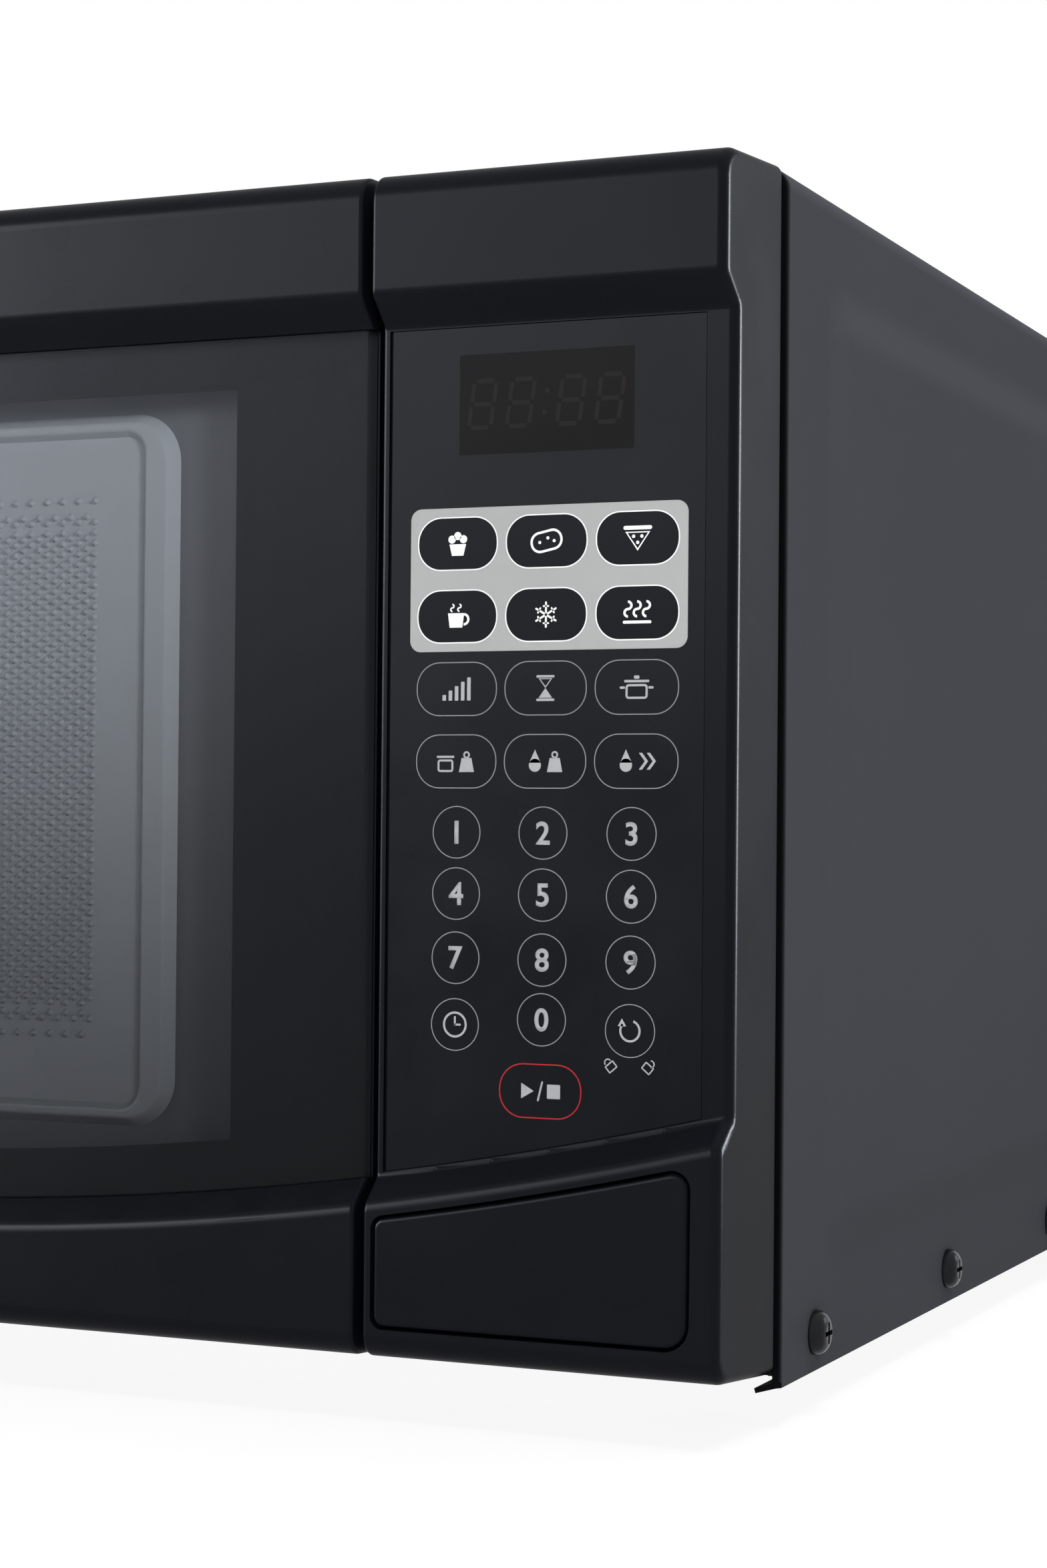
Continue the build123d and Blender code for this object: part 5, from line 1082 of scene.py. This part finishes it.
@dataclass
class PerforatedPanel:
    """The stamped door panel with its field of small burred holes, in millimetres.

    The holes stand in columns, and every second column is half a step lower. Towards its upper
    and lower edge the field thins out, one end being the other turned by half a turn.
    """

    step_x: float = 2.077
    step_z: float = 2.355
    pairs: int = 52
    rows: int = 46
    rim: float = 0.9
    crown: float = 0.35
    rise: float = 0.9
    hole: float = 0.12
    sides: int = 8
    right: float = 66.9
    top: float = 196.15
    front_y: float = -153.0
    back_y: float = -152.2
    edge_y: float = -151.8
    fringe: float = 5.5
    flat: float = 0.999
    near: float = 0.05
    steep: float = 0.3
    pieces: ClassVar[tuple[str, ...]] = (
        "screen_frame", "screen_field_0", "screen_field_16", "screen_field_32", "screen_fringes",
    )
    made: list[bpy.types.Object] = field(default_factory=list)

    def build(self, node: bpy.types.Object) -> None:
        """Cut the field out of a copy of the panel and set the perforated sheet in it.

        Args:
            node: The panel of the frame, which the new pieces stand for.
        """
        frame_piece = self._frame(node)
        third = math.ceil(self.rows / 3)
        for first in range(0, self.rows, third):
            self._field(f"screen_field_{first}", first, min(third, self.rows - first))
        self._fringes()
        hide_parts("door_screen")

    @property
    def left(self) -> float:
        """Left edge of the field."""
        return self.right - 2 * self.step_x * self.pairs

    @property
    def bottom(self) -> float:
        """Lower edge of the field, with the steps of its thinned-out edges."""
        return self.top - (self.rows + self.fringe) * self.step_z

    def _on_field(self, face: bmesh.types.BMFace) -> bool:
        """Whether a face is a flat of the field, on the front or on the back."""
        if abs(face.normal.y) < self.flat:
            return False
        y = face.calc_center_median().y / MM
        return min(abs(y - self.front_y), abs(y - self.back_y)) < self.near

    def _frame(self, node: bpy.types.Object) -> bpy.types.Object:
        """A copy of the panel with openings for the perforated sheets."""
        bm = bmesh.new()
        bm.from_mesh(node.data)
        bmesh.ops.remove_doubles(bm, verts=bm.verts[:], dist=1e-6)
        cuts = (
            ((self.left, 0.0), (1.0, 0.0)),
            ((self.right, 0.0), (1.0, 0.0)),
            ((0.0, self.bottom), (0.0, 1.0)),
            ((0.0, self.top), (0.0, 1.0)),
        )
        for (x, z), (along_x, along_z) in cuts:
            flats = [f for f in bm.faces if self._on_field(f)]
            rim = {e for f in flats for e in f.edges}
            dots = {v for f in flats for v in f.verts}
            bmesh.ops.bisect_plane(
                bm, geom=[*flats, *rim, *dots], dist=1e-7,
                plane_co=(x * MM, 0.0, z * MM), plane_no=(along_x, 0.0, along_z),
            )
        cut = [f for f in bm.faces if self._on_field(f) and self._within(f)]
        bmesh.ops.delete(bm, geom=cut, context="FACES")
        piece = piece_from(bm, "screen_frame", SCREEN_PAINT, "door")
        # The flat outside the ridge takes the darker copy of the paint, which is painted shade.
        piece.data.materials.append(SCREEN_PAINTED_SHADE.material())
        for face in piece.data.polygons:
            flat = abs(face.normal.y) > self.flat
            face.material_index = int(flat and abs(face.center.y / MM - self.edge_y) < self.near)
        self.made.append(piece)
        return piece

    def _within(self, face: bmesh.types.BMFace) -> bool:
        """Whether a face lies inside the field."""
        mid = face.calc_center_median() / MM
        return self.left < mid.x < self.right and self.bottom < mid.z < self.top

    def _loop(self, cell: BMesh, radius: float, y: float) -> list[Any]:
        """Add a ring of edges round the middle of a cell.

        Args:
            cell: The mesh of the cell.
            radius: Radius of the ring.
            y: How far it lies behind the front face.

        Returns:
            The ring's edges.
        """
        turn = Matrix.Translation((0.0, 0.0, -y)) @ Matrix.Rotation(math.pi / self.sides, 4, "Z")
        ring = bmesh.ops.create_circle(cell, segments=self.sides, radius=radius, matrix=turn)
        return list({e for v in ring["verts"] for e in v.link_edges})

    def _square(self, cell: BMesh, y: float) -> list[Any]:
        """Add the outline of a cell, with two points on each side, and return its edges."""
        edges = self._loop(cell, 0.5, y)
        for v in {v for e in edges for v in e.verts}:
            reach = max(abs(v.co.x), abs(v.co.y))
            v.co.x *= self.step_x / 2 / reach
            v.co.y *= self.step_z / 2 / reach
        return edges

    def _holed(self, cell: BMesh) -> None:
        """Fill a cell with sheet round a hole that the punch has pushed up towards the glass."""
        thick = self.back_y - self.front_y
        loops = [
            self._square(cell, 0.0),
            self._loop(cell, self.rim, 0.0),
            self._loop(cell, self.crown, -self.rise),
            self._loop(cell, self.hole, -self.rise),
            self._loop(cell, self.hole, thick),
            self._square(cell, thick),
        ]
        for first, second in zip(loops, loops[1:]):
            bmesh.ops.bridge_loops(cell, edges=[*first, *second])
        for side_x in (-1.0, 1.0):
            for side_z in (-1.0, 1.0):
                for y in (0.0, -thick):
                    corner = Vector((side_x * self.step_x / 2, side_z * self.step_z / 2, y))
                    near = sorted(cell.verts, key=lambda v: (v.co - corner).length)[:2]
                    cell.faces.new([near[0], cell.verts.new(corner), near[1]])

    def _tile(self, bm: BMesh, x: float, z: float, holed: bool, tall: float) -> None:
        """Add one cell of sheet, with or without a hole.

        Args:
            bm: The mesh that gets the cell.
            x: Left edge of the cell.
            z: Lower edge of the cell.
            holed: Whether it has a hole.
            tall: Height of the cell.
        """
        cell = bmesh.new()
        if holed:
            self._holed(cell)
        else:
            for y in (0.0, self.front_y - self.back_y):
                spot = Matrix.Translation((0.0, 0.0, y))
                spot @= Matrix.Diagonal((self.step_x, tall, 1.0, 1.0))
                bmesh.ops.create_grid(cell, x_segments=1, y_segments=1, size=0.5, matrix=spot)
        self._face_out(cell)
        bmesh.ops.translate(
            cell, vec=(x + self.step_x / 2, z + tall / 2, 0.0), verts=cell.verts[:]
        )
        pour(cell, bm)

    def _face_out(self, cell: BMesh) -> None:
        """Turn the faces of a cell out of the sheet."""
        middle = (self.front_y - self.back_y) / 2
        cell.normal_update()
        for f in cell.faces:
            mid = f.calc_center_median()
            out = Vector((-mid.x, -mid.y, 0.0))
            if abs(f.normal.z) > self.steep:
                out = Vector((0.0, 0.0, mid.z - middle))
            if f.normal.dot(out) < 0.0:
                f.normal_flip()

    def _array(self, bm: BMesh, name: str, rows: int) -> None:
        """Stand a strip of cells up in the panel and repeat it over the field.

        Args:
            bm: The cells, drawn flat in millimetres.
            name: Name of the piece.
            rows: How often it repeats downwards.
        """
        bmesh.ops.remove_doubles(bm, verts=bm.verts[:], dist=1e-4)
        stand_up(bm, self.front_y)
        piece = piece_from(bm, name, SCREEN_PAINT, "door")
        across = (2 * self.step_x * MM, 0.0, 0.0)
        down = (0.0, 0.0, -self.step_z * MM)
        for offset, count in ((across, self.pairs), (down, rows)):
            repeat = piece.modifiers.new("repeat", "ARRAY")
            repeat.use_relative_offset = False
            repeat.use_constant_offset = True
            repeat.constant_offset_displace = offset
            repeat.count = count
        self.made.append(piece)

    def _field(self, name: str, first: int, rows: int) -> None:
        """Part of the full field, from one row downwards."""
        bm = bmesh.new()
        z = self.top - (3 + first) * self.step_z
        self._tile(bm, self.left, z - 1.5 * self.step_z, True, self.step_z)
        self._tile(bm, self.left + self.step_x, z, True, self.step_z)
        self._array(bm, name, rows)

    def _fringes(self) -> None:
        """The thinned-out upper and lower edges of the field."""
        bm = bmesh.new()
        last = self.rows + 2
        even = {0: True, 1: False, last: False, last + 1: True, last + 2: False}
        odd = {0: False, 1: True, 2: False, last + 1: False, last + 2: True}
        half = self.step_z / 2
        for step, holed in even.items():
            z = self.top - (step + 1) * self.step_z
            self._tile(bm, self.left + self.step_x, z, holed, self.step_z)
        for step, holed in odd.items():
            z = self.top - half - (step + 1) * self.step_z
            self._tile(bm, self.left, z, holed, self.step_z)
        self._tile(bm, self.left, self.top - half, False, half)
        self._tile(bm, self.left + self.step_x, self.bottom, False, half)
        self._array(bm, "screen_fringes", 1)


@dataclass
class CoilSpring:
    """A compression spring wound between two seats, in millimetres.

    It stands for a spring of the frame.
    """

    name: str
    node: str
    body: str
    joint: str
    seat: Place
    axis: Place
    long: float
    radius: float
    wire: float
    turns: int
    travel: float
    sides: int = 8
    turn_steps: int = 20

    def build(self) -> None:
        """Wind the wire and stand it on its seat."""
        bm = bmesh.new()
        lay = Matrix.Translation((self.radius - self.wire / 2, 0.0, self.wire / 2))
        lay @= Matrix.Rotation(math.radians(90.0), 4, "X")
        bmesh.ops.create_circle(bm, segments=self.sides, radius=self.wire / 2, matrix=lay)
        steps = self.turn_steps * self.turns
        rise = (self.long - self.wire) / steps
        bmesh.ops.spin(
            bm, geom=[*bm.verts, *bm.edges], cent=(0.0, 0.0, 0.0), axis=(0.0, 0.0, 1.0),
            dvec=(0.0, 0.0, rise), angle=2.0 * math.pi * self.turns, steps=steps,
            use_duplicate=False,
        )
        ends = [e for e in bm.edges if e.is_boundary]
        bmesh.ops.holes_fill(bm, edges=ends, sides=self.sides)
        bmesh.ops.recalc_face_normals(bm, faces=bm.faces[:])
        for f in bm.faces:
            f.smooth = True
        aim = Vector((0.0, 0.0, 1.0)).rotation_difference(Vector(self.axis)).to_matrix().to_4x4()
        stand = Matrix.Scale(MM, 4) @ Matrix.Translation(self.seat) @ aim
        bmesh.ops.transform(bm, matrix=stand, verts=bm.verts[:])
        piece = piece_from(bm, self.name, SPRING_WIRE, self.body)
        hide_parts(self.node)
        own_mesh(piece)


SPRINGS = (
    CoilSpring(
        "latch_coil", "latch_spring", "door", "latch_lift", (129.0, -147.75, 214.0),
        (0.0, 0.0, 1.0), 22.0, 3.1, 0.7, 9, 5.0,
    ),
    CoilSpring(
        "button_coil", "button_spring", "oven", "button_press", (190.0, -166.8, 32.0),
        (0.0, 1.0, 0.0), 26.8, 3.7, 0.7, 10, 6.0,
    ),
)


@dataclass
class Softbox:
    """A rectangular studio lamp, in metres and watts.

    only names the pieces that it lights, where it is flagged off from the rest. lights says
    whether it lights matt surfaces, and mirrored whether glossy ones show it.
    """

    name: str
    spot: Place
    aim: Place
    size: Point
    power: float
    only: tuple[str, ...] = ()
    colour: Colour = (1.0, 1.0, 1.0)
    lights: bool = True
    mirrored: bool = False

    def build(self) -> None:
        """Hang the lamp and point it."""
        lamp = bpy.data.lights.new(self.name, "AREA")
        lamp.shape = "RECTANGLE"
        lamp.size, lamp.size_y = self.size
        lamp.energy = self.power
        lamp.color = self.colour
        hung = bpy.data.objects.new(self.name, lamp)
        hung.location = self.spot
        way = Vector(self.aim) - Vector(self.spot)
        hung.rotation_mode = "QUATERNION"
        hung.rotation_quaternion = way.to_track_quat("-Z", "Y")
        hung.visible_diffuse = self.lights
        hung.visible_glossy = self.mirrored
        if self.only:
            lit = bpy.data.collections.new(f"{self.name}_lit")
            for name in self.only:
                lit.objects.link(bpy.data.objects[name])
            hung.light_linking.receiver_collection = lit
        bpy.context.scene.collection.objects.link(hung)


@dataclass
class Card(Softbox):
    """A pale card that shows in glossy surfaces and lights no matt ones."""

    colour: Colour = COOL
    lights: bool = False
    mirrored: bool = True


@dataclass
class Studio:
    """The camera, the pale floor, the white surroundings and the lamps."""

    eye: Place = (0.42252, -0.73001, 0.12336)
    yaw: float = 23.588
    pitch: float = 0.79
    roll: float = 0.48
    lens: float = 69.24
    floor_size: float = 90.0
    floor_grey: float = 0.85
    floor_share: float = 0.9
    floor_reach: Point = (0.9, 3.0)
    ambient: float = 0.28
    lamps: tuple[Softbox, ...] = (
        Softbox("key_lamp", (-1.3, -1.9, 0.7), (0.0, -0.1, 0.14), (1.4, 1.2), 4.0),
        Softbox("fill_lamp", (1.0, -2.3, 0.9), (0.15, -0.1, 0.14), (0.9, 0.9), 30.0),
        Softbox(
            "window_lamp", (2.05, -1.4, 0.7), (0.03, -0.15, 0.12), (0.4, 0.4), 84.0,
            only=PerforatedPanel.pieces,
        ),
        Card("left_card", (-1.65, -1.6, 0.8), (-0.05, -0.17, 0.2), (0.95, 1.2), 92.0),
        Card("mid_card", (-0.75, -2.2, 0.85), (0.15, -0.17, 0.2), (0.95, 1.1), 17.0),
        Card(
            "right_strip", (2.03, 0.9, 0.35), (0.22, -0.15, 0.14), (0.3, 1.0), 160.0,
            only=("control_fascia", "fascia_crease", "release_button"),
        ),
        Card("left_strip", (-2.2, -0.85, 0.35), (0.14, -0.16, 0.14), (0.2, 1.0), 50.0),
        Card("emboss_card", (1.75, 1.45, 0.85), (0.226, -0.09, 0.14), (0.5, 0.9), 6.0),
        Card("back_card", (0.95, 1.92, 0.7), (0.222, -0.155, 0.14), (1.6, 1.2), 3.0, colour=SKY),
        Softbox("top_lamp", (0.42, 0.0, 2.0), (0.2, 0.0, 0.1), (1.0, 1.0), 48.0),
    )

    def build(self) -> None:
        """Set up the whole studio."""
        self._camera()
        self._world()
        self._floor()
        for lamp in self.lamps:
            lamp.build()
        bpy.context.scene.view_settings.view_transform = "Standard"

    def _camera(self) -> None:
        """Stand the camera where the photograph was taken from."""
        yaw, pitch, roll = (math.radians(a) for a in (self.yaw, self.pitch, self.roll))
        look = Vector(
            (-math.sin(yaw) * math.cos(pitch), math.cos(yaw) * math.cos(pitch), math.sin(pitch))
        )
        level = Vector((math.cos(yaw), math.sin(yaw), 0.0))
        upright = level.cross(look)
        right = math.cos(roll) * level + math.sin(roll) * upright
        up = -math.sin(roll) * level + math.cos(roll) * upright
        turn = Matrix((right, up, -look)).transposed().to_4x4()
        lens = bpy.data.cameras.new("camera")
        lens.sensor_fit = "AUTO"
        lens.sensor_width = 36.0
        lens.lens = self.lens
        lens.clip_start = 0.01
        camera = bpy.data.objects.new("camera", lens)
        camera.matrix_world = Matrix.Translation(self.eye) @ turn
        bpy.context.scene.collection.objects.link(camera)
        bpy.context.scene.camera = camera

    def _backdrop_share(self, tree: Any) -> Any:
        """A socket that is 1 for rays that show the backdrop, seen, mirrored or through glass."""
        rays = tree.nodes.new("ShaderNodeLightPath")
        seen = rays.outputs["Is Camera Ray"]
        for name in ("Is Glossy Ray", "Is Transmission Ray"):
            inputs = {0: seen, 1: rays.outputs[name]}
            seen = add_node(tree, "ShaderNodeMath", inputs, operation="MAXIMUM").outputs["Value"]
        return seen

    def _mix(self, tree: Any, share: Any, first: Any, second: Any, end: str) -> None:
        """Send a mix of two shaders to the end of a tree.

        Args:
            tree: The node tree.
            share: The socket of the second one's share.
            first: One shader node.
            second: The other one.
            end: Name of the output node.
        """
        inputs = {"Fac": share, 1: first.outputs[0], 2: second.outputs[0]}
        mix = add_node(tree, "ShaderNodeMixShader", inputs)
        feed(tree, tree.nodes[end], {"Surface": mix.outputs["Shader"]})

    def _world(self) -> None:
        """White surroundings that give only a soft fill light."""
        world = bpy.data.worlds.new("surroundings")
        world.use_nodes = True
        bpy.context.scene.world = world
        tree = world.node_tree
        fill = tree.nodes["Background"]
        feed(tree, fill, {"Color": WHITE, "Strength": self.ambient})
        shown = add_node(tree, "ShaderNodeBackground", {"Color": WHITE, "Strength": 1.0})
        self._mix(tree, self._backdrop_share(tree), fill, shown, "World Output")

    def _far_share(self, tree: Any) -> Any:
        """A socket that rises with the distance from the oven, so that the floor turns white far
        off.
        """
        place = tree.nodes.new("ShaderNodeTexCoord").outputs["Object"]
        far = add_node(tree, "ShaderNodeVectorMath", {0: place}, operation="LENGTH")
        span = (self.floor_share, 1.0)
        return map_range(tree, far.outputs["Value"], self.floor_reach, span, "SMOOTHSTEP")

    def _floor(self) -> None:
        """A wide pale floor that keeps a soft shadow."""
        bm = bmesh.new()
        bmesh.ops.create_grid(bm, x_segments=4, y_segments=4, size=self.floor_size / 2)
        mesh = bpy.data.meshes.new("floor")
        bm.to_mesh(mesh)
        bm.free()
        floor = bpy.data.objects.new("floor", mesh)
        bpy.context.scene.collection.objects.link(floor)
        made = bpy.data.materials.new("pale_floor")
        made.use_nodes = True
        tree = made.node_tree
        tree.nodes.remove(tree.nodes["Principled BSDF"])
        grey = self.floor_grey
        matt = add_node(tree, "ShaderNodeBsdfDiffuse", {"Color": (grey, grey, grey, 1.0)})
        white = add_node(tree, "ShaderNodeEmission", {"Strength": 1.0})
        shares = {0: self._backdrop_share(tree), 1: self._far_share(tree)}
        part = add_node(tree, "ShaderNodeMath", shares, operation="MULTIPLY")
        self._mix(tree, part.outputs["Value"], matt, white, "Material Output")
        mesh.materials.append(made)


def dress_frame(nodes: dict[str, bpy.types.Object]) -> None:
    """Give every part of the frame its finish.

    Args:
        nodes: The frame's parts by name.
    """
    for finish, names in NODE_FINISHES.items():
        for name in names:
            dress(nodes[name], finish)
    LOG.info("%d parts of the frame dressed", sum(len(n) for n in NODE_FINISHES.values()))


def main() -> None:
    """Build the whole scene in order."""
    logging.basicConfig(level=logging.INFO, format="%(name)s: %(message)s")
    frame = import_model()
    dress_frame(frame["nodes"])
    for crease in CREASES:
        crease.build()
    GlassMargin().build()
    KeySheet().build()
    PerforatedPanel().build(frame["nodes"]["door_screen"])
    for spring in SPRINGS:
        spring.build()
    Studio().build()


if __name__ == "__main__":
    main()
